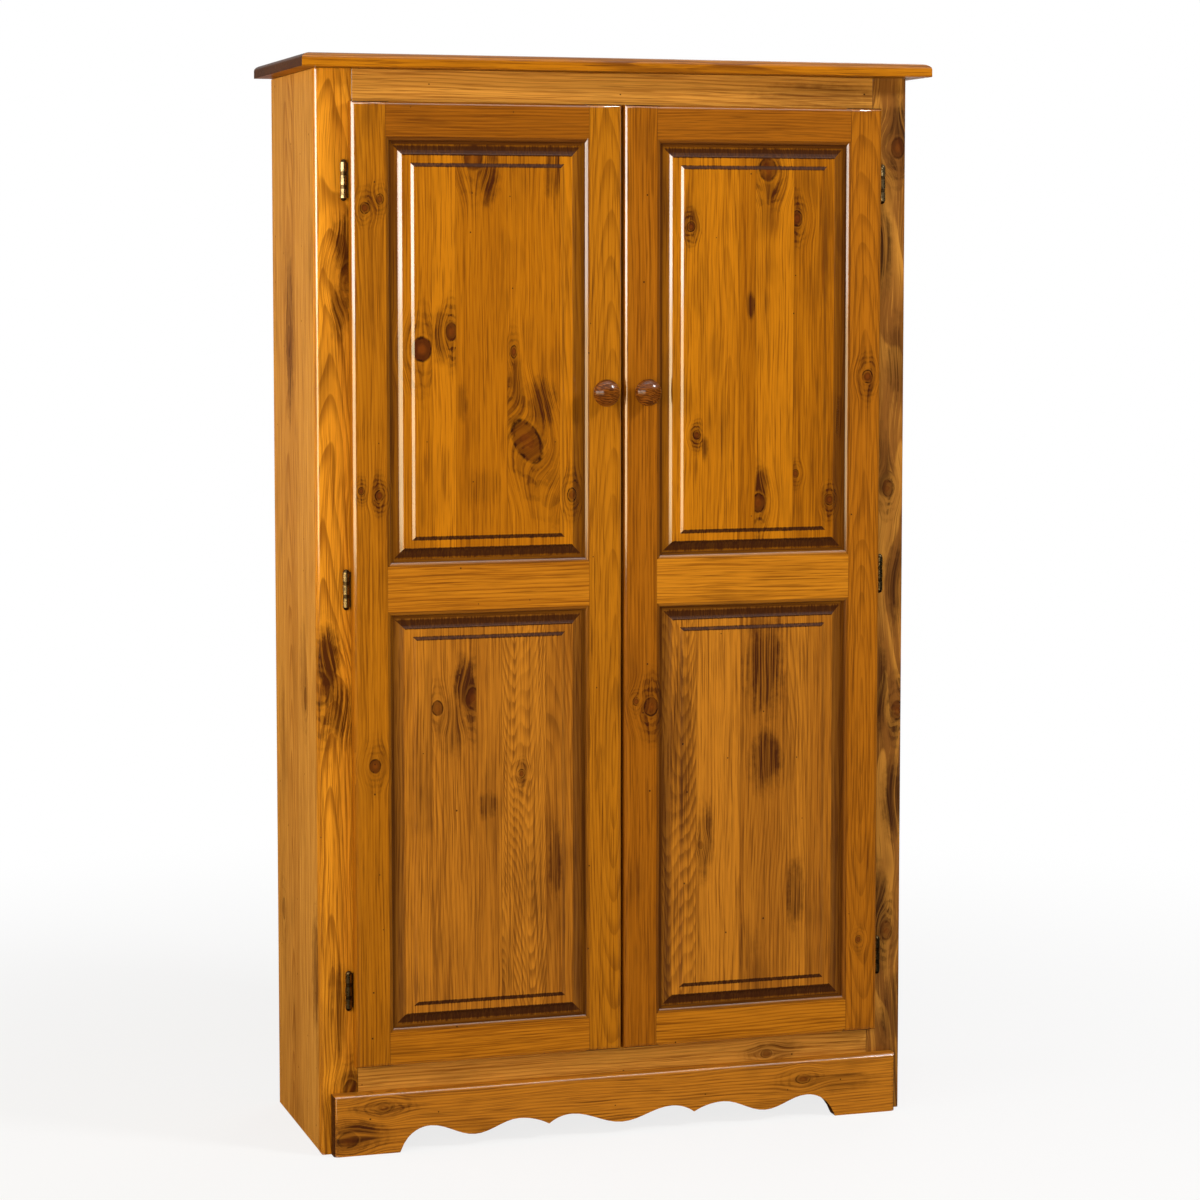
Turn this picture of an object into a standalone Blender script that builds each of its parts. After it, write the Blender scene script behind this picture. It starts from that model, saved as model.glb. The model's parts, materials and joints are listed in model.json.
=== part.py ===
"""Jelly cupboard: a tall knotty-pine cupboard with two raised-panel doors.

Metres, +Z up. The doors face -Y. The origin is on the floor, in the middle of the
cupboard's outer box. Every piece of wood and every hinge part is an object of its own.
"""
import math

import bmesh
import bpy
from mathutils import Matrix

# Clearance between pieces that touch, and how far a cutter runs past what it cuts
GAP = 0.0003
OVERCUT = 0.002
MERGE_DISTANCE = 0.000001   # points nearer than this are one point
ROUND_PROFILE = 0.5         # a bevel with this profile is part of a circle

# Carcass
CASE_WIDTH = 0.866          # over the outsides of the two sides
CASE_DEPTH = 0.295          # front of the face frame to the back edges of the sides
CASE_HEIGHT = 1.505         # floor to the underside of the top board
INSIDE_FLOOR = 0.130        # floor to the top of the bottom board
SIDE_THICK = 0.019
SHELF_THICK = 0.019
SHELF_COUNT = 4
HOUSING_DEPTH = 0.006       # how far shelves run into the sides
REAR_RAIL_WIDTH = 0.064
REAR_RAIL_THICK = 0.019
CLEAT_WIDTH = 0.025
CLEAT_THICK = 0.019

# Back of tongued and grooved boards, let into rabbets in the sides
BACK_COUNT = 6
BACK_THICK = 0.013
BACK_LAP = 0.025            # how far the boards hang below the bottom board
RABBET_DEPTH = 0.0095
TONGUE_LENGTH = 0.006
TONGUE_THICK = 0.0042
BOARD_CHAMFER = 0.0015

# Top board with a thumbnail edge on its front and ends
TOP_THICK = 0.019
TOP_SIDE_OVERHANG = 0.025
TOP_FRONT_OVERHANG = 0.037
THUMB_RUN = 0.016
THUMB_RISE = 0.008
THUMB_STEPS = 5

# Face frame
FRAME_THICK = 0.019
FRAME_STILE_WIDTH = 0.051
FRAME_TOP_WIDTH = 0.051
FRAME_BOTTOM_WIDTH = 0.076
FRAME_EASE = 0.0025         # rounded outer corner of the stiles
TENON_LENGTH = 0.025
TENON_THICK = 0.0064
TENON_SHOULDER = 0.008

# Scalloped apron, fixed on the front of the face frame
APRON_HEIGHT = 0.086
APRON_THICK = 0.019
APRON_END_INSET = 0.013     # from the outside of the case
APRON_ROUND = 0.006
FOOT_WIDTH = 0.094          # of each foot, at the floor
FOOT_SLANT_RUN = 0.006
FOOT_SLANT_RISE = 0.0126
SCALLOP_PEAK = 0.035
SCALLOP_LOW = 0.0175
SCALLOP_CUSP = 0.0235
SCALLOP_UNITS = 3           # repeats between the feet
CENTRE_PEAK_SHARE = 0.345   # peak's distance from the middle of its unit, as a share of the unit
OUTER_PEAK_SHARE = 0.297
SCALLOP_STEPS = 7

# Doors
DOOR_THICK = 0.019
DOOR_OVERLAP = 0.006        # how far the doors lie over the face frame
DOOR_ROUND = 0.005          # rounded front edges
MEETING_GAP = 0.004
DOOR_STILE_WIDTH = 0.0571
DOOR_RAIL_WIDTH = 0.0571
LOCK_RAIL_WIDTH = 0.0815
ROUND_STEPS = 4

# Moulded inner edge of the door members, and the groove for the panels
STICK_WIDTH = 0.0095
SHOULDER_DROP = 0.0006      # small step from the face down to the ovolo
OVOLO_RUN = 0.0060
OVOLO_DROP = 0.0041
OVOLO_STEPS = 4
QUIRK_DROP = 0.0007         # small step from the ovolo down to the fillet
LIP_THICK = 0.0010
GROOVE_WIDTH = 0.0063

# Raised panels
PANEL_FLOAT = 0.0015        # room for the panel to move at the bottom of the groove
PANEL_MARGIN = 0.003
COVE_RUN = 0.0115
COVE_RISE = 0.0040
COVE_STEPS = 5
BAND_RUN = 0.0120
STEP_RUN = 0.0040
STEP_RISE = 0.0016

# Turned knobs and their screws
KNOB_HEIGHT = 1.060         # floor to the middle of the knob
KNOB_INSET = 0.0285         # from the meeting edge of the door
KNOB_RADIUS = 0.019
KNOB_LENGTH = 0.031
KNOB_BASE_RADIUS = 0.0095
KNOB_NECK_RADIUS = 0.0078
KNOB_NECK_AT = 0.0075       # from the door to the narrowest point
KNOB_RIM_AT = 0.0195        # from the door to the widest point
KNOB_SWELL = 1.5            # how late the underside swells from the neck to the rim
KNOB_STEPS = 7
KNOB_SIDES = 28
SCREW_RADIUS = 0.0020
SCREW_DEPTH = 0.014         # into the knob
SCREW_HEAD_RADIUS = 0.0045
SCREW_HEAD_HEIGHT = 0.0026
SCREW_SIDES = 16
DOME_STEPS = 4              # of screw heads, pin tips and the bend of the hinge leaves

# Hinges, with the barrel in front of the face frame
HINGE_INSET = 0.107         # from the ends of the door to the outer hinges
BARREL_RADIUS = 0.00475
BARREL_SIDES = 16
BARREL_TO_DOOR = 0.00225
FRAME_KNUCKLE = 0.0124
DOOR_KNUCKLE = 0.0056
KNUCKLE_STEP = 0.00055      # how much thinner the door's knuckles are, in radius
PIN_RADIUS = 0.0022
PIN_TIP_RADIUS = 0.0041
PIN_TIP_HEIGHT = 0.0040
LEAF_THICK = 0.0012
LEAF_SPACE = 0.0004         # between the two leaves when the door is shut
LEAF_WRAP = 0.017           # depth of the frame leaf inside the opening
LEAF_REACH = 0.028          # of the door leaf behind the door
LEAF_ROOT = 0.0029          # from the hinge axis to where the door leaf leaves its knuckles
LEAF_CORNER = 0.006
LEAF_BEND = 0.0016

# Depth of the doors and knobs in front of the face frame, and the case's front and back planes
DOOR_STANDOFF = 2 * LEAF_THICK + LEAF_SPACE + 2 * GAP
KNOB_REACH = DOOR_STANDOFF + DOOR_THICK + GAP + KNOB_LENGTH
FACE_Y = (KNOB_REACH - CASE_DEPTH) / 2
REAR_Y = FACE_Y + CASE_DEPTH
BOARD_FRONT_Y = FACE_Y + FRAME_THICK + GAP
BOARD_BACK_Y = REAR_Y - BACK_THICK - GAP
CASE_TOP = CASE_HEIGHT - GAP

# Opening, doors and hinge axes
INSIDE_HALF = CASE_WIDTH / 2 - SIDE_THICK
OPENING_HALF = CASE_WIDTH / 2 - FRAME_STILE_WIDTH
OPENING_TOP = CASE_HEIGHT - FRAME_TOP_WIDTH
DOOR_BOTTOM = INSIDE_FLOOR - DOOR_OVERLAP
DOOR_HEIGHT = OPENING_TOP + DOOR_OVERLAP - DOOR_BOTTOM
DOOR_WIDTH = OPENING_HALF + DOOR_OVERLAP - MEETING_GAP / 2
AXIS_TO_EDGE = BARREL_RADIUS + BARREL_TO_DOOR
AXIS_DEPTH = BARREL_RADIUS + GAP
AXIS_X = OPENING_HALF + DOOR_OVERLAP + AXIS_TO_EDGE
AXIS_Y = FACE_Y - AXIS_DEPTH
STILE_FACE = DOOR_STILE_WIDTH - STICK_WIDTH
RAIL_FACE = DOOR_RAIL_WIDTH - STICK_WIDTH
LOCK_FACE = LOCK_RAIL_WIDTH - 2 * STICK_WIDTH
FILLET_DROP = SHOULDER_DROP + OVOLO_DROP + QUIRK_DROP
GROOVE_FRONT = FILLET_DROP + LIP_THICK
GROOVE_BACK = GROOVE_FRONT + GROOVE_WIDTH

# A door's own frame: X from the hinge axis towards the other door, Y back, Z from the door's foot
EDGE_X = AXIS_TO_EDGE
MEET_X = EDGE_X + DOOR_WIDTH
DOOR_BACK_Y = AXIS_DEPTH - DOOR_STANDOFF
DOOR_FRONT_Y = DOOR_BACK_Y - DOOR_THICK

HANDS = {"left": -1, "right": 1}


def clear_scene():
    """Remove every object of the open file."""
    for thing in list(bpy.data.objects):
        bpy.data.objects.remove(thing, do_unlink=True)


def new_collection(name):
    """Add a collection to the scene."""
    group = bpy.data.collections.new(name)
    bpy.context.scene.collection.children.link(group)
    return group


def new_finish(name, colour, roughness, metallic=0.0):
    """Make a Principled material of one colour."""
    material = bpy.data.materials.new(name)
    material.use_nodes = True
    shader = material.node_tree.nodes["Principled BSDF"]
    shader.inputs["Base Color"].default_value = (*colour, 1.0)
    shader.inputs["Roughness"].default_value = roughness
    shader.inputs["Metallic"].default_value = metallic
    return material


clear_scene()
PIECES = new_collection("jelly_cupboard")
CUTTERS = new_collection("jelly_cupboard_cutters")
CASE_PINE = new_finish("case_pine", (0.52, 0.24, 0.055), 0.38)
FRAME_PINE = new_finish("frame_pine", (0.50, 0.21, 0.035), 0.34)
DOOR_PINE = new_finish("door_pine", (0.50, 0.20, 0.025), 0.32)
PANEL_PINE = new_finish("panel_pine", (0.55, 0.24, 0.030), 0.32)
BARE_PINE = new_finish("inside_pine", (0.62, 0.36, 0.13), 0.50)
KNOB_WOOD = new_finish("knob_wood", (0.22, 0.075, 0.016), 0.25)
HINGE_BRASS = new_finish("antique_brass", (0.42, 0.31, 0.12), 0.35, 1.0)
SCREW_STEEL = new_finish("screw_steel", (0.55, 0.55, 0.55), 0.35, 1.0)


def box(low, high):
    """A box between two corners, as a bmesh."""
    low, high = [min(pair) for pair in zip(low, high)], [max(pair) for pair in zip(low, high)]
    centre = [(a + b) / 2 for a, b in zip(low, high)]
    size = [b - a for a, b in zip(low, high)]
    shape = bmesh.new()
    placing = Matrix.Translation(centre) @ Matrix.Diagonal((*size, 1.0))
    bmesh.ops.create_cube(shape, size=1.0, matrix=placing)
    return shape


def boxes(corner_pairs):
    """Several boxes that don't touch, in one bmesh."""
    shape = bmesh.new()
    for low, high in corner_pairs:
        scratch = bpy.data.meshes.new("scratch")
        single = box(low, high)
        single.to_mesh(scratch)
        single.free()
        shape.from_mesh(scratch)
        bpy.data.meshes.remove(scratch)
    return shape


def rod(radius, length, sides):
    """A cylinder along Z about the origin, with flats towards X and Y."""
    shape = bmesh.new()
    turn = Matrix.Rotation(math.pi / sides, 4, "Z")
    bmesh.ops.create_cone(shape, cap_ends=True, segments=sides, radius1=radius, radius2=radius,
                          depth=length, matrix=turn)
    return shape


def extrusion(outline, length, placing=Matrix.Identity(4)):
    """A flat outline drawn out along Z, half to each side, with one face on each end, and then placed."""
    curve = bpy.data.curves.new("outline", "CURVE")
    curve.dimensions = "2D"
    curve.fill_mode = "BOTH"
    curve.extrude = length / 2
    spline = curve.splines.new("POLY")
    spline.points.add(len(outline) - 1)
    spline.use_cyclic_u = True
    for point, (x, y) in zip(spline.points, outline):
        point.co = (x, y, 0.0, 1.0)
    drawn = bpy.data.objects.new("outline", curve)
    CUTTERS.objects.link(drawn)
    evaluated = drawn.evaluated_get(bpy.context.evaluated_depsgraph_get())
    mesh = bpy.data.meshes.new_from_object(evaluated)
    shape = bmesh.new()
    shape.from_mesh(mesh)
    bmesh.ops.remove_doubles(shape, verts=shape.verts, dist=MERGE_DISTANCE)
    for end in (-1, 1):
        cap = [face for face in shape.faces if all(end * vert.co.z > 0 for vert in face.verts)]
        bmesh.ops.dissolve_faces(shape, faces=cap)
    shape.transform(placing)
    bpy.data.objects.remove(drawn)
    bpy.data.curves.remove(curve)
    bpy.data.meshes.remove(mesh)
    return shape


def to_mesh(name, shape):
    """Turn a closed bmesh into a mesh whose faces point out."""
    bmesh.ops.recalc_face_normals(shape, faces=shape.faces)
    if shape.calc_volume(signed=True) < 0:
        bmesh.ops.reverse_faces(shape, faces=shape.faces)
    mesh = bpy.data.meshes.new(name)
    shape.to_mesh(mesh)
    shape.free()
    return mesh


def add_piece(name, mesh, material, location=(0.0, 0.0, 0.0), parent=None):
    """Add one named piece of the cupboard."""
    piece = bpy.data.objects.new(name, mesh)
    if not mesh.materials:
        mesh.materials.append(material)
    piece.location = location
    piece.parent = parent
    PIECES.objects.link(piece)
    return piece


def add_cutter(name, shape, location=(0.0, 0.0, 0.0), parent=None):
    """Add a shape that only cuts, trims or joins other pieces."""
    cutter = bpy.data.objects.new(name, to_mesh(name, shape))
    cutter.location = location
    cutter.parent = parent
    cutter.hide_render = True
    cutter.display_type = "WIRE"
    CUTTERS.objects.link(cutter)
    return cutter


def combine(piece, tool, operation):
    """Cut, trim or join a piece with a tool shape."""
    modifier = piece.modifiers.new(tool.name, "BOOLEAN")
    modifier.operation = operation
    modifier.solver = "EXACT"
    modifier.object = tool


def board(name, low, high, material):
    """A plain board between two corners, with its origin at its middle."""
    centre = [(a + b) / 2 for a, b in zip(low, high)]
    shape = box(low, high)
    shape.transform(Matrix.Translation(centre).inverted())
    return add_piece(name, to_mesh(name, shape), material, centre)


def turned(name, profile, sides, material, location, parent=None, rotation=(0.0, 0.0, 0.0)):
    """A turned piece: a profile of radius and height, from the top down, screwed about Z."""
    mesh = bpy.data.meshes.new(name)
    points = [(radius, 0.0, height) for radius, height in profile]
    mesh.from_pydata(points, [(i, i + 1) for i in range(len(points) - 1)], [])
    piece = add_piece(name, mesh, material, location, parent)
    piece.rotation_euler = rotation
    screw = piece.modifiers.new("turning", "SCREW")
    screw.axis = "Z"
    screw.steps = sides
    screw.render_steps = sides
    screw.use_merge_vertices = True
    screw.merge_threshold = MERGE_DISTANCE
    screw.use_smooth_shade = True
    return piece


def quarter_turn(steps):
    """Angles from nothing to a quarter turn, both included."""
    return [math.pi / 2 * i / steps for i in range(steps + 1)]


def quarter(run, rise, steps):
    """Points of a quarter ellipse that starts flat and ends upright, as pairs of run and rise."""
    return [(run * math.sin(angle), rise * (1 - math.cos(angle))) for angle in quarter_turn(steps)]


def strides(points):
    """Run and rise from each point to the next."""
    return [(b[0] - a[0], b[1] - a[1]) for a, b in zip(points, points[1:])]


def raise_face(shape, face, steps):
    """Step a face inwards and outwards, ring by ring."""
    for run, rise in steps:
        bmesh.ops.inset_individual(shape, faces=[face], thickness=run, depth=rise, use_even_offset=True)


def face_towards(shape, axis, sign):
    """The face of a bmesh that points most along one axis."""
    return max(shape.faces, key=lambda face: sign * face.normal[axis])


def round_edges(shape, test, radius, steps):
    """Round the edges whose two ends both pass a test."""
    edges = [edge for edge in shape.edges if all(test(vert.co) for vert in edge.verts)]
    bmesh.ops.bevel(shape, geom=edges, offset=radius, segments=steps, profile=ROUND_PROFILE, affect="EDGES")


def shelf_bottoms():
    """Heights of the undersides of the bottom board and the shelves above it."""
    room = CASE_HEIGHT - INSIDE_FLOOR - SHELF_COUNT * SHELF_THICK
    pitch = room / (SHELF_COUNT + 1) + SHELF_THICK
    return [INSIDE_FLOOR - SHELF_THICK + i * pitch for i in range(SHELF_COUNT + 1)]


def build_sides():
    """The two sides, with housings for the shelves and a rabbet for the back."""
    for side, hand in HANDS.items():
        outer = hand * CASE_WIDTH / 2
        inner = hand * INSIDE_HALF
        clear = inner - hand * OVERCUT
        piece = board(f"{side}_side", (outer, BOARD_FRONT_Y, 0.0), (inner, REAR_Y, CASE_TOP), CASE_PINE)
        housing_end = inner + hand * HOUSING_DEPTH
        housings = boxes(
            ((housing_end, BOARD_FRONT_Y - OVERCUT, bottom - GAP),
             (clear, BOARD_BACK_Y + OVERCUT, bottom + SHELF_THICK + GAP))
            for bottom in shelf_bottoms())
        rabbet = box((inner + hand * RABBET_DEPTH, BOARD_BACK_Y, -OVERCUT),
                     (clear, REAR_Y + OVERCUT, CASE_TOP + OVERCUT))
        combine(piece, add_cutter(f"{side}_housings", housings), "DIFFERENCE")
        combine(piece, add_cutter(f"{side}_rabbet", rabbet), "DIFFERENCE")


def build_shelves():
    """The bottom board and the fixed shelves, with their ends in the housings."""
    reach = INSIDE_HALF + HOUSING_DEPTH - GAP
    for number, bottom in enumerate(shelf_bottoms()):
        name = f"shelf_{number}" if number else "bottom_board"
        board(name, (-reach, BOARD_FRONT_Y, bottom), (reach, BOARD_BACK_Y, bottom + SHELF_THICK), BARE_PINE)


def build_top_fixings():
    """The rail across the back and the cleats on the sides that hold the top board."""
    reach = INSIDE_HALF - GAP
    rail_front = BOARD_BACK_Y - REAR_RAIL_THICK
    board("rear_top_rail", (-reach, rail_front, CASE_TOP - REAR_RAIL_WIDTH),
          (reach, BOARD_BACK_Y, CASE_TOP), BARE_PINE)
    for side, hand in HANDS.items():
        board(f"{side}_top_cleat", (hand * reach, BOARD_FRONT_Y, CASE_TOP - CLEAT_WIDTH),
              (hand * (reach - CLEAT_THICK), rail_front - GAP, CASE_TOP), BARE_PINE)


def back_outline(width, tongued, grooved):
    """Section of one back board: chamfered inside face, tongue to the right, groove to the left."""
    middle = BACK_THICK / 2
    right = [(width - BOARD_CHAMFER, 0.0), (width, BOARD_CHAMFER)]
    if tongued:
        near, far = middle - TONGUE_THICK / 2, middle + TONGUE_THICK / 2
        tip = width + TONGUE_LENGTH
        right += [(width, near), (tip, near), (tip, far), (width, far)]
    right.append((width, BACK_THICK))
    left = [(0.0, BACK_THICK)]
    if grooved:
        near, far = middle - TONGUE_THICK / 2 - GAP, middle + TONGUE_THICK / 2 + GAP
        floor = TONGUE_LENGTH + GAP
        left += [(0.0, far), (floor, far), (floor, near), (0.0, near)]
    left += [(0.0, BOARD_CHAMFER), (BOARD_CHAMFER, 0.0)]
    return right + left


def build_back():
    """The upright tongued and grooved boards of the back."""
    reach = INSIDE_HALF + RABBET_DEPTH - GAP
    pitch = (2 * reach + GAP) / BACK_COUNT
    low = INSIDE_FLOOR - SHELF_THICK - BACK_LAP
    height = CASE_TOP - low
    for number in range(BACK_COUNT):
        outline = back_outline(pitch - GAP, number < BACK_COUNT - 1, number > 0)
        name = f"back_board_{number + 1}"
        place = (-reach + number * pitch, REAR_Y - BACK_THICK, low + height / 2)
        add_piece(name, to_mesh(name, extrusion(outline, height)), BARE_PINE, place)


def build_top():
    """The top board, moulded on its front and both ends and square at the back."""
    half = CASE_WIDTH / 2 + TOP_SIDE_OVERHANG
    shape = box((-half, FACE_Y - TOP_FRONT_OVERHANG, 0.0),
                (half, REAR_Y + 2 * THUMB_RUN, TOP_THICK - THUMB_RISE))
    rounding = [(run, rise) for rise, run in quarter(THUMB_RISE, THUMB_RUN, THUMB_STEPS)]
    raise_face(shape, face_towards(shape, 2, 1), strides(rounding))
    sawn = bmesh.ops.bisect_plane(shape, geom=[*shape.verts, *shape.edges, *shape.faces],
                                  plane_co=(0.0, REAR_Y, 0.0), plane_no=(0.0, 1.0, 0.0), clear_outer=True)
    rim = [item for item in sawn["geom_cut"] if isinstance(item, bmesh.types.BMEdge)]
    bmesh.ops.contextual_create(shape, geom=rim)
    add_piece("top_board", to_mesh("top_board", shape), CASE_PINE, (0.0, 0.0, CASE_HEIGHT))


def frame_rails():
    """Name, lower edge and upper edge of each rail of the face frame."""
    return (("top", OPENING_TOP, CASE_TOP),
            ("bottom", INSIDE_FLOOR - FRAME_BOTTOM_WIDTH, INSIDE_FLOOR))


def build_face_frame():
    """Two stiles that stand on the floor and two rails tenoned into them."""
    middle = FACE_Y + FRAME_THICK / 2
    back = FACE_Y + FRAME_THICK
    for name, low, high in frame_rails():
        reach = OPENING_HALF - GAP
        rail = board(f"face_frame_{name}_rail", (-reach, FACE_Y, low), (reach, back, high), FRAME_PINE)
        end = OPENING_HALF + TENON_LENGTH
        tenon = box((-end, middle - TENON_THICK / 2, low + TENON_SHOULDER),
                    (end, middle + TENON_THICK / 2, high - TENON_SHOULDER))
        combine(rail, add_cutter(f"{name}_rail_tenons", tenon), "UNION")
    for side, hand in HANDS.items():
        outer = hand * CASE_WIDTH / 2
        name = f"face_frame_{side}_stile"
        shape = box((outer, FACE_Y, 0.0), (hand * OPENING_HALF, back, CASE_TOP))
        round_edges(shape, lambda co: abs(co.x - outer) < GAP and abs(co.y - FACE_Y) < GAP,
                    FRAME_EASE, ROUND_STEPS)
        stile = add_piece(name, to_mesh(name, shape), FRAME_PINE)
        mortises = boxes(
            ((hand * (OPENING_HALF - OVERCUT), middle - TENON_THICK / 2 - GAP, low + TENON_SHOULDER - GAP),
             (hand * (OPENING_HALF + TENON_LENGTH + GAP), middle + TENON_THICK / 2 + GAP,
              high - TENON_SHOULDER + GAP))
            for _, low, high in frame_rails())
        combine(stile, add_cutter(f"{side}_mortises", mortises), "DIFFERENCE")


def wave(start, end):
    """Points of a smooth swing between two levels, flat at both ends, without the last point."""
    for i in range(SCALLOP_STEPS):
        share = i / SCALLOP_STEPS
        x = start[0] + (end[0] - start[0]) * share
        yield x, start[1] + (end[1] - start[1]) * (1 - math.cos(math.pi * share)) / 2


def arc(crown, end):
    """Points of a circle's arc that is flat at its crown and falls to an end."""
    run, drop = end[0] - crown[0], crown[1] - end[1]
    radius = (run * run + drop * drop) / (2 * drop)
    for i in range(SCALLOP_STEPS + 1):
        x = run * i / SCALLOP_STEPS
        yield crown[0] + x, crown[1] - radius + math.sqrt(radius * radius - x * x)


def scallop(half):
    """Right half of the apron's lower edge, from the middle out to the foot."""
    foot = half - FOOT_WIDTH
    unit = 2 * foot / SCALLOP_UNITS
    middle_peak = (CENTRE_PEAK_SHARE * unit, SCALLOP_PEAK)
    points = list(wave((0.0, SCALLOP_LOW), middle_peak)) + list(arc(middle_peak, (unit / 2, SCALLOP_CUSP)))
    for number in range(1, (SCALLOP_UNITS + 1) // 2):
        start = (number - 0.5) * unit
        low = (number * unit, SCALLOP_LOW)
        near = (number * unit - OUTER_PEAK_SHARE * unit, SCALLOP_PEAK)
        far = (number * unit + OUTER_PEAK_SHARE * unit, SCALLOP_PEAK)
        is_last = number == SCALLOP_UNITS // 2
        end = (foot - FOOT_SLANT_RUN, FOOT_SLANT_RISE) if is_last else (start + unit, SCALLOP_CUSP)
        rising = list(arc(near, (start, SCALLOP_CUSP)))[-2:0:-1]
        points += rising + list(wave(near, low)) + list(wave(low, far)) + list(arc(far, end))
    return points + [(foot, 0.0)]


def build_apron():
    """The scalloped board across the front, rounded along its top and ends."""
    half = CASE_WIDTH / 2 - APRON_END_INSET
    right = scallop(half) + [(half + OVERCUT, 0.0), (half + OVERCUT, APRON_HEIGHT + OVERCUT)]
    left = [(-x, z) for x, z in reversed(right[1:])]
    upright = Matrix(((1, 0, 0, 0), (0, 0, 1, 0), (0, 1, 0, 0), (0, 0, 0, 1)))
    shape = extrusion(right + left, APRON_THICK + 2 * OVERCUT, upright)
    back = FACE_Y - GAP
    place = (0.0, back - APRON_THICK / 2, 0.0)
    apron = add_piece("apron", to_mesh("apron", shape), FRAME_PINE, place)
    front = -APRON_THICK / 2
    blank = box((-half, front, -OVERCUT - APRON_ROUND), (half, -front, APRON_HEIGHT))
    round_edges(blank, lambda co: abs(co.y - front) < GAP, APRON_ROUND, ROUND_STEPS)
    combine(apron, add_cutter("apron_blank", blank, place), "INTERSECT")


def moulded_edge(face, front, back, grow=0.0):
    """Section of a door member's moulded edge: shoulder, ovolo, fillet and panel groove.

    Across comes first and depth from the door's front second, which runs from front to back.
    With grow, the edge stands proud all over by that much, which copes the rails.
    """
    start = face + grow
    edge = start + STICK_WIDTH
    shoulder = SHOULDER_DROP - grow
    fillet = FILLET_DROP - grow
    groove_front, groove_back = GROOVE_FRONT + grow, GROOVE_BACK - grow
    points = [(start, front)]
    points += [(start + run, shoulder + drop) for run, drop in quarter(OVOLO_RUN, OVOLO_DROP, OVOLO_STEPS)]
    points += [(start + OVOLO_RUN, fillet), (edge, fillet), (edge, groove_front), (start, groove_front)]
    return points + [(start, groove_back), (edge, groove_back), (edge, back)]


def stile_section():
    """Section of a stile before it is trimmed to the door's outline."""
    front, back = -OVERCUT, DOOR_THICK + OVERCUT
    return [(-OVERCUT, back), (-OVERCUT, front)] + moulded_edge(STILE_FACE, front, back)


def end_rail_section():
    """Section of a top or bottom rail: rounded outside, moulded inside."""
    rounding = [(DOOR_ROUND - run, drop) for run, drop in quarter(DOOR_ROUND, DOOR_ROUND, ROUND_STEPS)]
    return [(0.0, DOOR_THICK)] + rounding[::-1] + moulded_edge(RAIL_FACE, 0.0, DOOR_THICK)


def lock_rail_section():
    """Section of the lock rail, moulded on both edges."""
    upper = moulded_edge(LOCK_FACE / 2, 0.0, DOOR_THICK)
    return upper + [(-across, depth) for across, depth in reversed(upper)]


def rail_space():
    """Outline of what the stiles leave free for the rails, seen along the stiles."""
    edge = moulded_edge(STILE_FACE, -OVERCUT, DOOR_THICK + OVERCUT, GAP)
    return edge + [(DOOR_WIDTH - across, depth) for across, depth in reversed(edge)]


def door_panel(name, low, high, mirror, axis):
    """A raised panel whose edges float in the grooves, between two corners of its blank in X and Z."""
    shape = box((low[0] + PANEL_FLOAT, DOOR_FRONT_Y + GROOVE_FRONT + GAP, low[1] + PANEL_FLOAT),
                (high[0] - PANEL_FLOAT, DOOR_FRONT_Y + GROOVE_BACK - GAP, high[1] - PANEL_FLOAT))
    steps = [(STICK_WIDTH - PANEL_FLOAT + PANEL_MARGIN, 0.0)]
    steps += strides(quarter(COVE_RUN, COVE_RISE, COVE_STEPS))
    steps += [(BAND_RUN, 0.0), (STEP_RUN, STEP_RISE)]
    raise_face(shape, face_towards(shape, 1, -1), steps)
    shape.transform(mirror)
    add_piece(name, to_mesh(name, shape), PANEL_PINE, parent=axis)


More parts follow.
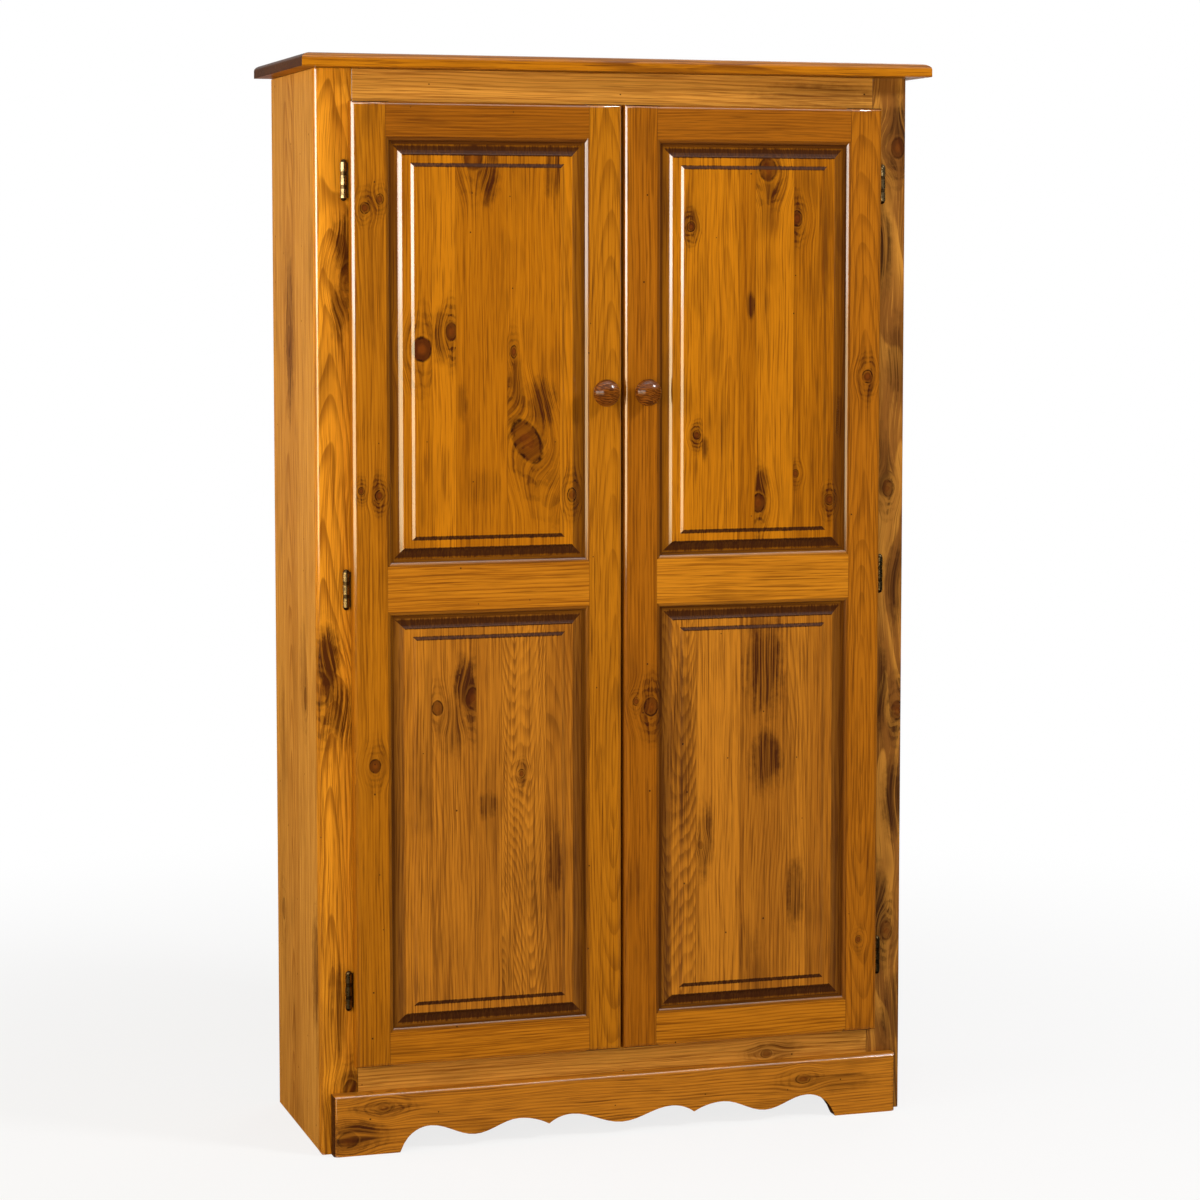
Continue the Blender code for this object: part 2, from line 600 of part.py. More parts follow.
def build_door(side, hand):
    """One door: two stiles, three rails coped over them, two panels, a knob and its screw."""
    mirror = Matrix.Diagonal((-hand, 1.0, 1.0, 1.0))
    axis = bpy.data.objects.new(f"{side}_door_axis", None)
    axis.location = (hand * AXIS_X, AXIS_Y, DOOR_BOTTOM)
    PIECES.objects.link(axis)

    blank = box((EDGE_X, DOOR_FRONT_Y, 0.0), (MEET_X, DOOR_BACK_Y, DOOR_HEIGHT))
    round_edges(blank, lambda co: abs(co.y - DOOR_FRONT_Y) < GAP, DOOR_ROUND, ROUND_STEPS)
    blank.transform(mirror)
    blank = add_cutter(f"{side}_door_blank", blank, parent=axis)

    upright = Matrix.Translation((EDGE_X, DOOR_FRONT_Y, DOOR_HEIGHT / 2))
    turned_round = Matrix.Translation((EDGE_X + MEET_X, 0.0, 0.0)) @ Matrix.Diagonal((-1, 1, 1, 1))
    stile_length = DOOR_HEIGHT + 2 * OVERCUT
    stiles = {}
    for place, placing in (("hinge", upright), ("meeting", turned_round @ upright)):
        name = f"{side}_door_{place}_stile"
        shape = extrusion(stile_section(), stile_length, mirror @ placing)
        stiles[place] = add_piece(name, to_mesh(name, shape), DOOR_PINE, parent=axis)
        combine(stiles[place], blank, "INTERSECT")

    shape = extrusion(rail_space(), stile_length, mirror @ upright)
    space = add_cutter(f"{side}_rail_space", shape, parent=axis)
    along = Matrix(((0, 0, 1, 0), (0, 1, 0, 0), (1, 0, 0, 0), (0, 0, 0, 1)))
    rail_length = DOOR_WIDTH - 2 * STILE_FACE + 2 * OVERCUT
    rails = (
        ("bottom", end_rail_section(), 0.0, 1),
        ("lock", lock_rail_section(), DOOR_HEIGHT / 2, 1),
        ("top", end_rail_section(), DOOR_HEIGHT, -1),
    )
    for place, section, height, upward in rails:
        name = f"{side}_door_{place}_rail"
        middle = Matrix.Translation(((EDGE_X + MEET_X) / 2, DOOR_FRONT_Y, height))
        placing = mirror @ middle @ Matrix.Diagonal((1, 1, upward, 1)) @ along
        shape = extrusion(section, rail_length, placing)
        rail = add_piece(name, to_mesh(name, shape), DOOR_PINE, parent=axis)
        combine(rail, space, "INTERSECT")

    left, right = EDGE_X + STILE_FACE, MEET_X - STILE_FACE
    lock_low, lock_high = (DOOR_HEIGHT - LOCK_FACE) / 2, (DOOR_HEIGHT + LOCK_FACE) / 2
    door_panel(f"{side}_door_lower_panel", (left, RAIL_FACE), (right, lock_low), mirror, axis)
    door_panel(f"{side}_door_upper_panel", (left, lock_high), (right, DOOR_HEIGHT - RAIL_FACE), mirror, axis)

    knob_place = (-hand * (MEET_X - KNOB_INSET), DOOR_FRONT_Y, KNOB_HEIGHT - DOOR_BOTTOM)
    forward = Matrix.Rotation(math.pi / 2, 4, "X")
    bore = rod(SCREW_RADIUS + GAP, 2 * (DOOR_THICK + OVERCUT), SCREW_SIDES)
    bore.transform(forward)
    combine(stiles["meeting"], add_cutter(f"{side}_knob_bore", bore, knob_place, axis), "DIFFERENCE")
    build_knob(side, knob_place, axis)
    return axis


def knob_profile():
    """Half section of a knob from its tip to its base, and up its screw hole."""
    dome, swell = KNOB_LENGTH - KNOB_RIM_AT, KNOB_RADIUS - KNOB_NECK_RADIUS
    turns = quarter_turn(KNOB_STEPS)
    tip = [(KNOB_RADIUS * math.sin(a), KNOB_RIM_AT + dome * math.cos(a)) for a in turns]
    waist = KNOB_RIM_AT - KNOB_NECK_AT
    under = [(KNOB_NECK_RADIUS + swell * abs(math.cos(a)) ** KNOB_SWELL, KNOB_RIM_AT - waist * math.sin(a))
             for a in turns[1:]]
    hole = SCREW_RADIUS + GAP
    depth = SCREW_DEPTH + GAP
    base = [(KNOB_BASE_RADIUS, 0.0), (hole, 0.0), (hole, depth), (0.0, depth)]
    return [(radius, height + GAP) for radius, height in tip + under + base]


def build_knob(side, place, axis):
    """A turned knob in front of the meeting stile and the screw that holds it from behind."""
    forward = (math.pi / 2, 0.0, 0.0)
    turned(f"{side}_knob", knob_profile(), KNOB_SIDES, KNOB_WOOD, place, axis, forward)
    under_head = -DOOR_THICK - GAP
    head = [(run, under_head - SCREW_HEAD_HEIGHT + rise)
            for run, rise in quarter(SCREW_HEAD_RADIUS, SCREW_HEAD_HEIGHT, DOME_STEPS)]
    profile = [(0.0, SCREW_DEPTH), (SCREW_RADIUS, SCREW_DEPTH), (SCREW_RADIUS, under_head)] + head[::-1]
    turned(f"{side}_knob_screw", profile, SCREW_SIDES, SCREW_STEEL, place, axis, forward)


def knuckle_spans():
    """Lower and upper end of each knuckle, frame and door in turn, about the hinge's middle."""
    heights = [FRAME_KNUCKLE, DOOR_KNUCKLE, FRAME_KNUCKLE, DOOR_KNUCKLE, FRAME_KNUCKLE]
    level = -sum(heights) / 2
    spans = []
    for height in heights:
        spans.append((level, level + height))
        level += height
    return spans


BARREL_HEIGHT = 3 * FRAME_KNUCKLE + 2 * DOOR_KNUCKLE


def hinge_leaf(name, plate, radius, notches, mirror):
    """A leaf with its knuckles: plate and barrel joined, notched for the other leaf and bored."""
    clear = BARREL_RADIUS + GAP
    beyond = BARREL_RADIUS + OVERCUT
    tools = (
        ("barrel", rod(radius, BARREL_HEIGHT, BARREL_SIDES), "UNION"),
        ("notches", boxes(((-beyond, -beyond, low), (clear, beyond, high)) for low, high in notches),
         "DIFFERENCE"),
        ("bore", rod(PIN_RADIUS + GAP, BARREL_HEIGHT + 2 * OVERCUT, BARREL_SIDES), "DIFFERENCE"),
    )
    leaf = add_piece(name, to_mesh(name, plate), HINGE_BRASS)
    cutters = []
    for tool_name, tool, operation in tools:
        cutters.append(add_cutter(f"{name}_{tool_name}", tool))
        combine(leaf, cutters[-1], operation)
    evaluated = leaf.evaluated_get(bpy.context.evaluated_depsgraph_get())
    shape = bmesh.new()
    shape.from_mesh(evaluated.to_mesh())
    shape.transform(mirror)
    for thing in (leaf, *cutters):
        bpy.data.objects.remove(thing, do_unlink=True)
    return to_mesh(name, shape)


def frame_leaf_plate():
    """The frame leaf's bent plate: behind the barrel, then round into the opening."""
    near, far = BARREL_RADIUS - LEAF_THICK, BARREL_RADIUS
    inner = AXIS_TO_EDGE + DOOR_OVERLAP + GAP
    outer = inner + LEAF_THICK
    end = AXIS_DEPTH + LEAF_WRAP
    bend = [(outer - LEAF_BEND + run, near + drop) for run, drop in quarter(LEAF_BEND, LEAF_BEND, DOME_STEPS)]
    outline = [(0.0, near)] + bend + [(outer, end), (inner, end), (inner, far), (0.0, far)]
    return extrusion(outline, BARREL_HEIGHT)


def door_leaf_plate():
    """The door leaf's flat plate behind the door, with its free corners rounded."""
    end = AXIS_TO_EDGE + LEAF_REACH
    near = DOOR_BACK_Y + GAP
    plate = box((LEAF_ROOT, near, -BARREL_HEIGHT / 2), (end, near + LEAF_THICK, BARREL_HEIGHT / 2))
    corners = [edge for edge in plate.edges
               if all(abs(vert.co.x - end) < GAP for vert in edge.verts)
               and abs(edge.verts[0].co.y - edge.verts[1].co.y) > LEAF_THICK / 2]
    bmesh.ops.bevel(plate, geom=corners, offset=LEAF_CORNER, segments=ROUND_STEPS, profile=ROUND_PROFILE,
                    affect="EDGES")
    return plate


def pin_profile():
    """Half section of a hinge pin from its top tip to its bottom tip."""
    seat = BARREL_HEIGHT / 2 + GAP
    dome = [(run, seat + PIN_TIP_HEIGHT - drop)
            for run, drop in quarter(PIN_TIP_RADIUS, PIN_TIP_HEIGHT, DOME_STEPS)]
    upper = dome + [(PIN_RADIUS, seat)]
    return upper + [(radius, -height) for radius, height in reversed(upper)]


def build_hinges(side, hand, axis):
    """Three hinges for one door: frame leaf, door leaf and pin each."""
    mirror = Matrix.Diagonal((-hand, 1.0, 1.0, 1.0))
    spans = knuckle_spans()
    frame_notches = spans[1::2]
    door_notches = [(low - GAP, high + GAP) for low, high in spans[0::2]]
    frame_mesh = hinge_leaf(f"{side}_frame_leaf", frame_leaf_plate(), BARREL_RADIUS, frame_notches, mirror)
    door_mesh = hinge_leaf(f"{side}_door_leaf", door_leaf_plate(), BARREL_RADIUS - KNUCKLE_STEP,
                           door_notches, mirror)
    heights = {"bottom": HINGE_INSET, "middle": DOOR_HEIGHT / 2, "top": DOOR_HEIGHT - HINGE_INSET}
    for place, height in heights.items():
        name = f"{side}_{place}_hinge"
        world = (hand * AXIS_X, AXIS_Y, DOOR_BOTTOM + height)
        add_piece(f"{name}_frame_leaf", frame_mesh, HINGE_BRASS, world)
        add_piece(f"{name}_door_leaf", door_mesh, HINGE_BRASS, (0.0, 0.0, height), axis)
        turned(f"{name}_pin", pin_profile(), BARREL_SIDES, HINGE_BRASS, world)


build_sides()
build_shelves()
build_top_fixings()
build_back()
build_top()
build_face_frame()
build_apron()
for door_side, door_hand in HANDS.items():
    door_axis = build_door(door_side, door_hand)
    build_hinges(door_side, door_hand, door_axis)
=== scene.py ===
"""Looks of a jelly cupboard: honey-stained knotty pine, turned knobs and antique brass hinges.

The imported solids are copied, eased and dressed board by board, and the screws and nails are added.
Metres, +Z up, the doors face -Y.
"""

import json
import logging
import math
import random
from dataclasses import dataclass, field
from enum import Enum
from typing import Any, Iterable, Union

import bmesh
import bpy
from mathutils import Matrix, Vector

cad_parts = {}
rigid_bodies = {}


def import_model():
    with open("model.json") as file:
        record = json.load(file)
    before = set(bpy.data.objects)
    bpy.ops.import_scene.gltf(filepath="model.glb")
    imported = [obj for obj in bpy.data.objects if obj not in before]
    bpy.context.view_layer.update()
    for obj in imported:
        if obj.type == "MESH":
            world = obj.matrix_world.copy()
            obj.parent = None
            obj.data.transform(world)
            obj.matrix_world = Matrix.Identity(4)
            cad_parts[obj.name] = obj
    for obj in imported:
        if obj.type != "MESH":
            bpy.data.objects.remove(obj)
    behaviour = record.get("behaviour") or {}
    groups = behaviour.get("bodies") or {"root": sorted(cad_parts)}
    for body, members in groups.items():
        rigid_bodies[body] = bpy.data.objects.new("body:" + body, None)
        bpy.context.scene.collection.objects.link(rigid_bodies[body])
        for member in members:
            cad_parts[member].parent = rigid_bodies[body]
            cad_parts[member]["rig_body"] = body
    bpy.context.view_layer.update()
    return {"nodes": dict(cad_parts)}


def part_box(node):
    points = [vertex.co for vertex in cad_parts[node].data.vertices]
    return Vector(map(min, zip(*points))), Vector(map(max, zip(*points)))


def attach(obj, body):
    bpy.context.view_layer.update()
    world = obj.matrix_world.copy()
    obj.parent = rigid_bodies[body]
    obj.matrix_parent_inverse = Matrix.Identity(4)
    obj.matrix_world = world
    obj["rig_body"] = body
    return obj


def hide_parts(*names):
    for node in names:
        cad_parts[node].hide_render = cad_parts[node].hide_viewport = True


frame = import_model()

Triple = tuple[float, float, float]
Colour = Triple
Number = Union["Value", float]
LOG = logging.getLogger("jelly_cupboard")

# Which way each side lies along X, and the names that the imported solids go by
HANDS = {"left": -1, "right": 1}
SHELVES = ["bottom_board"] + [f"shelf_{number}" for number in range(1, 5)]
BACK_BOARDS = [f"back_board_{number}" for number in range(1, 7)]


class Value:
    """A node's output socket, with arithmetic that adds Math nodes."""

    def __init__(self, sheet: "Sheet", socket: bpy.types.NodeSocket) -> None:
        """Wrap one output socket of a sheet's node."""
        self.sheet = sheet
        self.socket = socket

    def _math(self, operation: str, *values: Number) -> "Value":
        """Add one Math node on the given values."""
        return self.sheet.node("ShaderNodeMath", {"operation": operation}, dict(enumerate(values)))

    def __add__(self, other: Number) -> "Value":
        """Sum."""
        return self._math("ADD", self, other)

    __radd__ = __add__

    def __sub__(self, other: Number) -> "Value":
        """Difference."""
        return self._math("SUBTRACT", self, other)

    def __rsub__(self, other: Number) -> "Value":
        """Difference from a number."""
        return self._math("SUBTRACT", other, self)

    def __mul__(self, other: Number) -> "Value":
        """Product."""
        return self._math("MULTIPLY", self, other)

    __rmul__ = __mul__

    def __truediv__(self, other: Number) -> "Value":
        """Quotient."""
        return self._math("DIVIDE", self, other)

    def __gt__(self, other: Number) -> "Value":
        """One where this value is greater, else nothing."""
        return self._math("GREATER_THAN", self, other)

    def __lt__(self, other: Number) -> "Value":
        """One where this value is less, else nothing."""
        return self._math("LESS_THAN", self, other)

    def fraction(self) -> "Value":
        """What is left after the whole number."""
        return self._math("FRACT", self)

    def root(self) -> "Value":
        """Square root."""
        return self._math("SQRT", self)

    def wave(self) -> "Value":
        """Sine."""
        return self._math("SINE", self)

    def larger(self, other: Number) -> "Value":
        """The larger of two values."""
        return self._math("MAXIMUM", self, other)

    def ramp(self, low: float, high: float, bottom: float = 0.0, top: float = 1.0) -> "Value":
        """A smooth, clamped ramp.

        Args:
            low: value at which the ramp starts.
            high: value at which it ends; it may lie below low.
            bottom: result at the start.
            top: result at the end.

        Returns:
            The ramp's value.
        """
        inputs = {"Value": self, "From Min": low, "From Max": high, "To Min": bottom, "To Max": top}
        return self.sheet.node("ShaderNodeMapRange", {"interpolation_type": "SMOOTHSTEP"}, inputs)

    def clamped(self) -> "Value":
        """This value, kept between nothing and one."""
        return self.sheet.node("ShaderNodeClamp", None, {0: self})

    def other(self, name: str) -> "Value":
        """Another output of the same node."""
        return Value(self.sheet, self.socket.node.outputs[name])


class Sheet:
    """A node tree under construction."""

    def __init__(self, tree: bpy.types.NodeTree) -> None:
        """Start from an empty tree."""
        self.tree = tree
        tree.nodes.clear()

    def node(self, kind: str, settings: dict[str, Any] | None = None,
             inputs: dict[str | int, Any] | None = None, output: str | int = 0) -> Value:
        """Add one node.

        Args:
            kind: the node's type.
            settings: the node's own properties, set first.
            inputs: values or links of its sockets, by name or number.
            output: which output to return.

        Returns:
            The chosen output.
        """
        made = self.tree.nodes.new(kind)
        for key, value in (settings or {}).items():
            setattr(made, key, value)
        for key, value in (inputs or {}).items():
            socket = made.inputs[key]
            if isinstance(value, Value):
                self.tree.links.new(value.socket, socket)
            else:
                socket.default_value = value
        return Value(self, made.outputs[output] if made.outputs else None)


class ShaderSheet(Sheet):
    """The nodes of one material."""

    def __init__(self, name: str) -> None:
        """Make the material and clear its tree."""
        self.material = bpy.data.materials.new(name)
        self.material.use_nodes = True
        super().__init__(self.material.node_tree)

    def vector(self, x: Number, y: Number, z: Number) -> Value:
        """A vector from three values."""
        return self.node("ShaderNodeCombineXYZ", None, {0: x, 1: y, 2: z})

    def scaled(self, vector: Value, scale: Triple, offset: Triple = (0.0, 0.0, 0.0)) -> Value:
        """A vector times one constant vector plus another."""
        return self.node("ShaderNodeVectorMath", {"operation": "MULTIPLY_ADD"}, {0: vector, 1: scale, 2: offset})

    def length(self, vector: Value) -> Value:
        """Length of a vector."""
        return self.node("ShaderNodeVectorMath", {"operation": "LENGTH"}, {0: vector}, "Value")

    def noise(self, vector: Value, detail: float = 2.0, roughness: float = 0.5) -> Value:
        """Soft noise about one half, one lump to a unit."""
        inputs = {"Vector": vector, "Scale": 1.0, "Detail": detail, "Roughness": roughness}
        return self.node("ShaderNodeTexNoise", None, inputs)

    def mix(self, share: Number, first: Any, second: Any) -> Value:
        """Blend two colours.

        Args:
            share: how much of the second colour shows.
            first: a colour or a colour's socket.
            second: a colour or a colour's socket.

        Returns:
            The blended colour.
        """
        ends = [end if isinstance(end, Value) else (*end, 1.0) for end in (first, second)]
        return self.node("ShaderNodeMix", {"data_type": "RGBA"}, {0: share, 6: ends[0], 7: ends[1]}, 2)

    def attribute(self, name: str) -> Value:
        """A number kept on the mesh."""
        return self.node("ShaderNodeAttribute", {"attribute_name": name}, None, "Fac")

    def bump(self, height: Value, strength: float, distance: float) -> Value:
        """A normal that follows a height."""
        return self.node("ShaderNodeBump", None, {"Strength": strength, "Distance": distance, "Height": height})

    def finish(self, inputs: dict[str, Any]) -> bpy.types.Material:
        """Close the tree with a Principled shader.

        Args:
            inputs: values or links of the shader's sockets.

        Returns:
            The finished material.
        """
        shader = self.node("ShaderNodeBsdfPrincipled", None, inputs)
        self.node("ShaderNodeOutputMaterial", None, {"Surface": shader})
        return self.material


class Grain(Enum):
    """Axes across a board's face, through its thickness and along its grain."""

    UPRIGHT = "XYZ"
    LEVEL = "ZYX"
    SIDE = "YXZ"
    FLAT = "YZX"

    def numbers(self) -> tuple[int, ...]:
        """Numbers of the axes across, through and along."""
        return tuple("XYZ".index(axis) for axis in self.value)


@dataclass(frozen=True)
class Tone:
    """Colours of stained pine, from the pale early wood to the darkest stain."""

    pale: Colour
    body: Colour
    grain: Colour
    stain: Colour


class Tones:
    """The stains on this cupboard."""

    HONEY = Tone((0.485, 0.167, 0.005), (0.31, 0.098, 0.003), (0.135, 0.034, 0.003), (0.058, 0.014, 0.003))
    TOFFEE = Tone((0.43, 0.151, 0.006), (0.295, 0.095, 0.003), (0.120, 0.031, 0.003), (0.055, 0.013, 0.003))
    CINNAMON = Tone((0.38, 0.124, 0.006), (0.26, 0.078, 0.003), (0.105, 0.027, 0.003), (0.050, 0.012, 0.003))
    HAZEL = Tone((0.49, 0.180, 0.014), (0.285, 0.095, 0.008), (0.120, 0.034, 0.005), (0.055, 0.015, 0.004))
    SUNNY = Tone((0.78, 0.305, 0.018), (0.54, 0.192, 0.010), (0.20, 0.056, 0.004), (0.070, 0.018, 0.003))
    AMBER = Tone((0.47, 0.165, 0.008), (0.33, 0.106, 0.004), (0.15, 0.040, 0.003), (0.065, 0.016, 0.003))
    RUSSET = Tone((0.32, 0.102, 0.006), (0.21, 0.062, 0.003), (0.11, 0.028, 0.003), (0.045, 0.012, 0.003))
    CARAMEL = Tone((0.58, 0.218, 0.012), (0.40, 0.136, 0.007), (0.160, 0.044, 0.004), (0.062, 0.016, 0.003))
    WHEAT = Tone((0.72, 0.335, 0.054), (0.56, 0.240, 0.036), (0.26, 0.082, 0.010), (0.11, 0.032, 0.006))
    TAN = Tone((0.56, 0.264, 0.048), (0.42, 0.178, 0.029), (0.22, 0.070, 0.009), (0.10, 0.030, 0.006))
    UMBER = Tone((0.29, 0.108, 0.018), (0.18, 0.066, 0.012), (0.56, 0.240, 0.034), (0.050, 0.017, 0.005))
    BARE = Tone((0.66, 0.400, 0.150), (0.56, 0.310, 0.100), (0.40, 0.190, 0.052), (0.28, 0.120, 0.034))


@dataclass(frozen=True)
class Knot:
    """One knot in a board's face.

    Fields are its place across and along the grain, half its width, its length to its width, how strongly
    its core, its rim and the feathery stain round it show, and how far it leans.
    """

    across: float
    along: float
    size: float
    stretch: float = 1.3
    core: float = 0.8
    rim: float = 0.8
    halo: float = 0.6
    lean: float = 0.0


@dataclass(frozen=True)
class KnotMask:
    """Where one knot's core, rim, bark, rings and halo show."""

    core: Value
    rim: Value
    bark: Value
    rings: Value
    halo: Value


@dataclass(frozen=True)
class Smudge:
    """A feathery dark patch of stain, once of painted shadow: its place across and along the grain, its half sizes and
    strength.
    """

    across: float
    along: float
    half_width: float
    half_length: float
    strength: float = 0.7


@dataclass(frozen=True)
class Wood:
    """Coordinates and noises of one board, which its colours are mixed from.

    Fields are the place on its face, the place that its grain flows through, the places across and along,
    the place across led round the knots, small and slow noise about nothing, streaks and fibres along the
    grain, the late wood of its rings, its strips' chances and its own place in the noise.
    """

    flat: Value
    flow: Value
    across: Value
    along: Value
    bent: Value
    ragged: Value
    drift: Value
    streak: Value
    fibre: Value
    late: Value
    chances: list[Number]
    offset: Triple


# Lumps of noise to a metre, across, through and along the grain
DRIFT_SCALE = (11.0, 11.0, 2.1)
STREAK_SCALE = (150.0, 150.0, 2.6)
FIBRE_SCALE = (460.0, 460.0, 9.0)
HAIR_SCALE = (820.0, 820.0, 16.0)
CLOUD_SCALE = (17.0, 17.0, 5.5)
# Lumps of noise to a metre, across and along the grain
RAGGED_SCALE = (95.0, 60.0, 0.0)
CURL_SCALE = (16.0, 5.0, 0.0)
PATCHY_SCALE = (140.0, 90.0, 0.0)
DENT_SCALE = (17.0, 15.0, 0.0)

# How strongly each mark shows
ARCH_STRENGTH = 0.60
FIBRE_STRENGTH = 0.54
HAIR_STRENGTH = 0.42
GLUE_STRENGTH = 0.35
JOINT_STRENGTH = 0.55
DENT_STRENGTH = 0.85

# Places of boards and strips in the noise, and sizes of single marks
NOISE_ROOM = 40.0
STRIP_SHIFT = 0.31
STRIP_SLIDE = 1.7
LINE_REACH = 6.0e-7
DENT_DEPTH = 0.0012
ARCH_STEEPNESS = 85.0
ARCH_PITCH = 0.026

# The lacquer and the relief of the fibres under it
COAT_ROUGHNESS = 0.10
COAT_INDEX = 2.40
BUMP_STRENGTH = 0.12
BUMP_DEPTH = 0.0006

# Colours that all tones share
KNOT_CORE = (0.062, 0.013, 0.003)
KNOT_HEART = (0.165, 0.037, 0.004)
KNOT_RIM = (0.012, 0.004, 0.002)
DENT = (0.030, 0.010, 0.005)
# Painted shade for the hollows of the doors, laid darker with depth
HOLLOW_SHADE = (0.046, 0.013, 0.003)
END_STAIN = (0.042, 0.013, 0.004)


@dataclass(frozen=True)
class PineFinish:
    """Lacquered pine for one board: growth rings, fibres, glue joints, knots and stain.

    Glue and joints are places of joint lines across and along the grain. Then come the pitch of the rings, how
    strongly rings and clouds of stain show, how far the grain wanders, the bare wood's roughness and mirror
    strength, the share of spots with a dent, the most lacquer on a moulding, the least size of a tight knot and
    the ends of the strip with arched figure.
    """

    name: str
    grain: Grain
    tone: Tone
    seed: int
    glue: tuple[float, ...] = ()
    knots: tuple[Knot, ...] = ()
    smudges: tuple[Smudge, ...] = ()
    joints: tuple[float, ...] = ()
    ring: float = 0.0046
    figure: float = 0.55
    blotch: float = 0.45
    wild: float = 0.010
    gloss: float = 0.38
    shine: float = 0.02
    dents: float = 0.30
    polish: float = 0.62
    loose: float = 0.0078
    bold: tuple[float, float] = (0.0, 0.0)

    def material(self, low: Vector, high: Vector) -> bpy.types.Material:
        """Write the material's nodes.

        Args:
            low: lowest corner of the board.
            high: highest corner of the board.

        Returns:
            The material.
        """
        sheet = ShaderSheet(self.name)
        luck = random.Random(self.seed)
        place = sheet.node("ShaderNodeTexCoord", None, None, "Object")
        parts = sheet.node("ShaderNodeSeparateXYZ", None, {0: place})
        across, through, along = (parts.other(axis) for axis in self.grain.value)
        numbers = self.grain.numbers()
        centre = [(low[number] + high[number]) / 2 for number in numbers]
        strip, chances = self._strips(sheet, across, luck)
        offset = tuple(luck.uniform(0.0, NOISE_ROOM) for _ in range(3))

        flat = sheet.vector(across, along, 0.0)
        ragged = sheet.noise(sheet.scaled(flat, RAGGED_SCALE, offset), 3.0, 0.6) - 0.5
        bent, knots = self._bend(sheet, flat, across, along, ragged, offset)
        flow = sheet.vector(bent + strip * STRIP_SHIFT, through, along + chances[0] * STRIP_SLIDE)
        drift = sheet.noise(sheet.scaled(flow, DRIFT_SCALE, offset)) - 0.5
        streak = sheet.noise(sheet.scaled(flow, STREAK_SCALE, offset), 3.0, 0.6)
        fibre = sheet.noise(sheet.scaled(flow, FIBRE_SCALE, offset), 3.0, 0.6)
        late = self._rings(bent, through, along, centre, chances, drift, streak)
        wood = Wood(flat, flow, across, along, bent, ragged, drift, streak, fibre, late, chances, offset)

        depth = through - centre[1]
        skin = (high[numbers[1]] - low[numbers[1]]) / 2 - DENT_DEPTH
        dent = self._dents(sheet, flat, offset) * (depth * depth > skin ** 2)
        colour = self._figured(sheet, wood)
        colour = self._stained(sheet, colour, wood, knots)
        colour = self._worn(sheet, colour, wood, dent)
        height = fibre * 0.35 + late * 0.25 - dent
        return sheet.finish({
            "Base Color": colour,
            "Roughness": self.gloss + (streak - 0.5) * 0.10 + dent * 0.3,
            "Specular IOR Level": self.shine,
            "Coat Weight": sheet.attribute("polish") * self.polish,
            "Coat Roughness": COAT_ROUGHNESS,
            "Coat IOR": COAT_INDEX,
            "Normal": sheet.bump(height, BUMP_STRENGTH, BUMP_DEPTH),
        })

    def _figured(self, sheet: ShaderSheet, wood: Wood) -> Value:
        """Colour of the early and the late wood, with its fibres.

        Args:
            sheet: the material's nodes.
            wood: the board's coordinates and noises.

        Returns:
            The colour of the bare figure.
        """
        hair = sheet.noise(sheet.scaled(wood.flow, HAIR_SCALE, wood.offset), 1.0)
        shade = 0.40 + (wood.chances[1] - 0.5) * 0.95 + (wood.streak - 0.5) * 1.6 + (wood.fibre - 0.5) * 1.1
        colour = sheet.mix(shade.clamped(), self.tone.pale, self.tone.body)
        strength = (0.25 + 0.9 * wood.chances[2]) * self.figure
        colour = sheet.mix(wood.late * strength, colour, self.tone.grain)
        if self.bold[0] < self.bold[1]:
            inside = (wood.across > self.bold[0]) * (wood.across < self.bold[1])
            colour = sheet.mix(self._arches(wood) * inside * ARCH_STRENGTH, colour, self.tone.grain)
        colour = sheet.mix(wood.fibre.ramp(0.51, 0.65) * FIBRE_STRENGTH, colour, self.tone.grain)
        return sheet.mix(hair.ramp(0.58, 0.72) * HAIR_STRENGTH, colour, self.tone.stain)

    def _stained(self, sheet: ShaderSheet, colour: Value, wood: Wood, knots: list[KnotMask]) -> Value:
        """Lay stain, knots and joint lines over the figure.

        Args:
            sheet: the material's nodes.
            colour: the colour so far.
            wood: the board's coordinates and noises.
            knots: where each knot shows.

        Returns:
            The colour with them.
        """
        cloud = sheet.noise(sheet.scaled(wood.flow, CLOUD_SCALE, wood.offset), 3.0, 0.6)
        stain = cloud.ramp(0.50, 0.80) * (wood.streak + 0.35) * self.blotch
        feather = wood.streak.ramp(0.38, 0.60) * 0.50 + wood.fibre.ramp(0.40, 0.58) * 0.50 + 0.30
        # The patches are stain, except the one along the top of the frame's top rail, which is painted shadow under the
        # top board
        patches = self._smudges(sheet, wood.flat, wood.ragged) + [knot.halo for knot in knots]
        for patch in patches:
            stain = stain.larger(patch * feather)
        colour = sheet.mix(stain.clamped(), colour, self.tone.stain)
        for knot in knots:
            colour = sheet.mix(knot.bark, colour, self.tone.pale)
            colour = sheet.mix(knot.core, colour, sheet.mix(knot.rings, KNOT_CORE, KNOT_HEART))
            colour = sheet.mix(knot.rim, colour, KNOT_RIM)
        for edge in self.glue:
            colour = self._seam(sheet, colour, wood.across, edge, GLUE_STRENGTH)
        for end in self.joints:
            colour = self._seam(sheet, colour, wood.along, end, JOINT_STRENGTH)
        return colour

    def _worn(self, sheet: ShaderSheet, colour: Value, wood: Wood, dent: Value) -> Value:
        """Add dents, cut ends that drink stain and painted shade in the hollows.

        Args:
            sheet: the material's nodes.
            colour: the colour so far.
            wood: the board's coordinates and noises.
            dent: one in a dent, else nothing.

        Returns:
            The finished colour.
        """
        colour = sheet.mix(dent * DENT_STRENGTH, colour, DENT)
        cut = (sheet.attribute("end_grain") + (wood.fibre - 0.5) * 0.8).ramp(0.30, 0.70)
        colour = sheet.mix(cut * wood.fibre.ramp(0.34, 0.60, 0.85, 1.0), colour, END_STAIN)
        # Painted shade: the door's hollows darken with depth, as their shadow would
        glaze = sheet.attribute("glaze") * (0.45 + 0.80 * wood.streak)
        return sheet.mix(glaze.clamped(), colour, HOLLOW_SHADE)

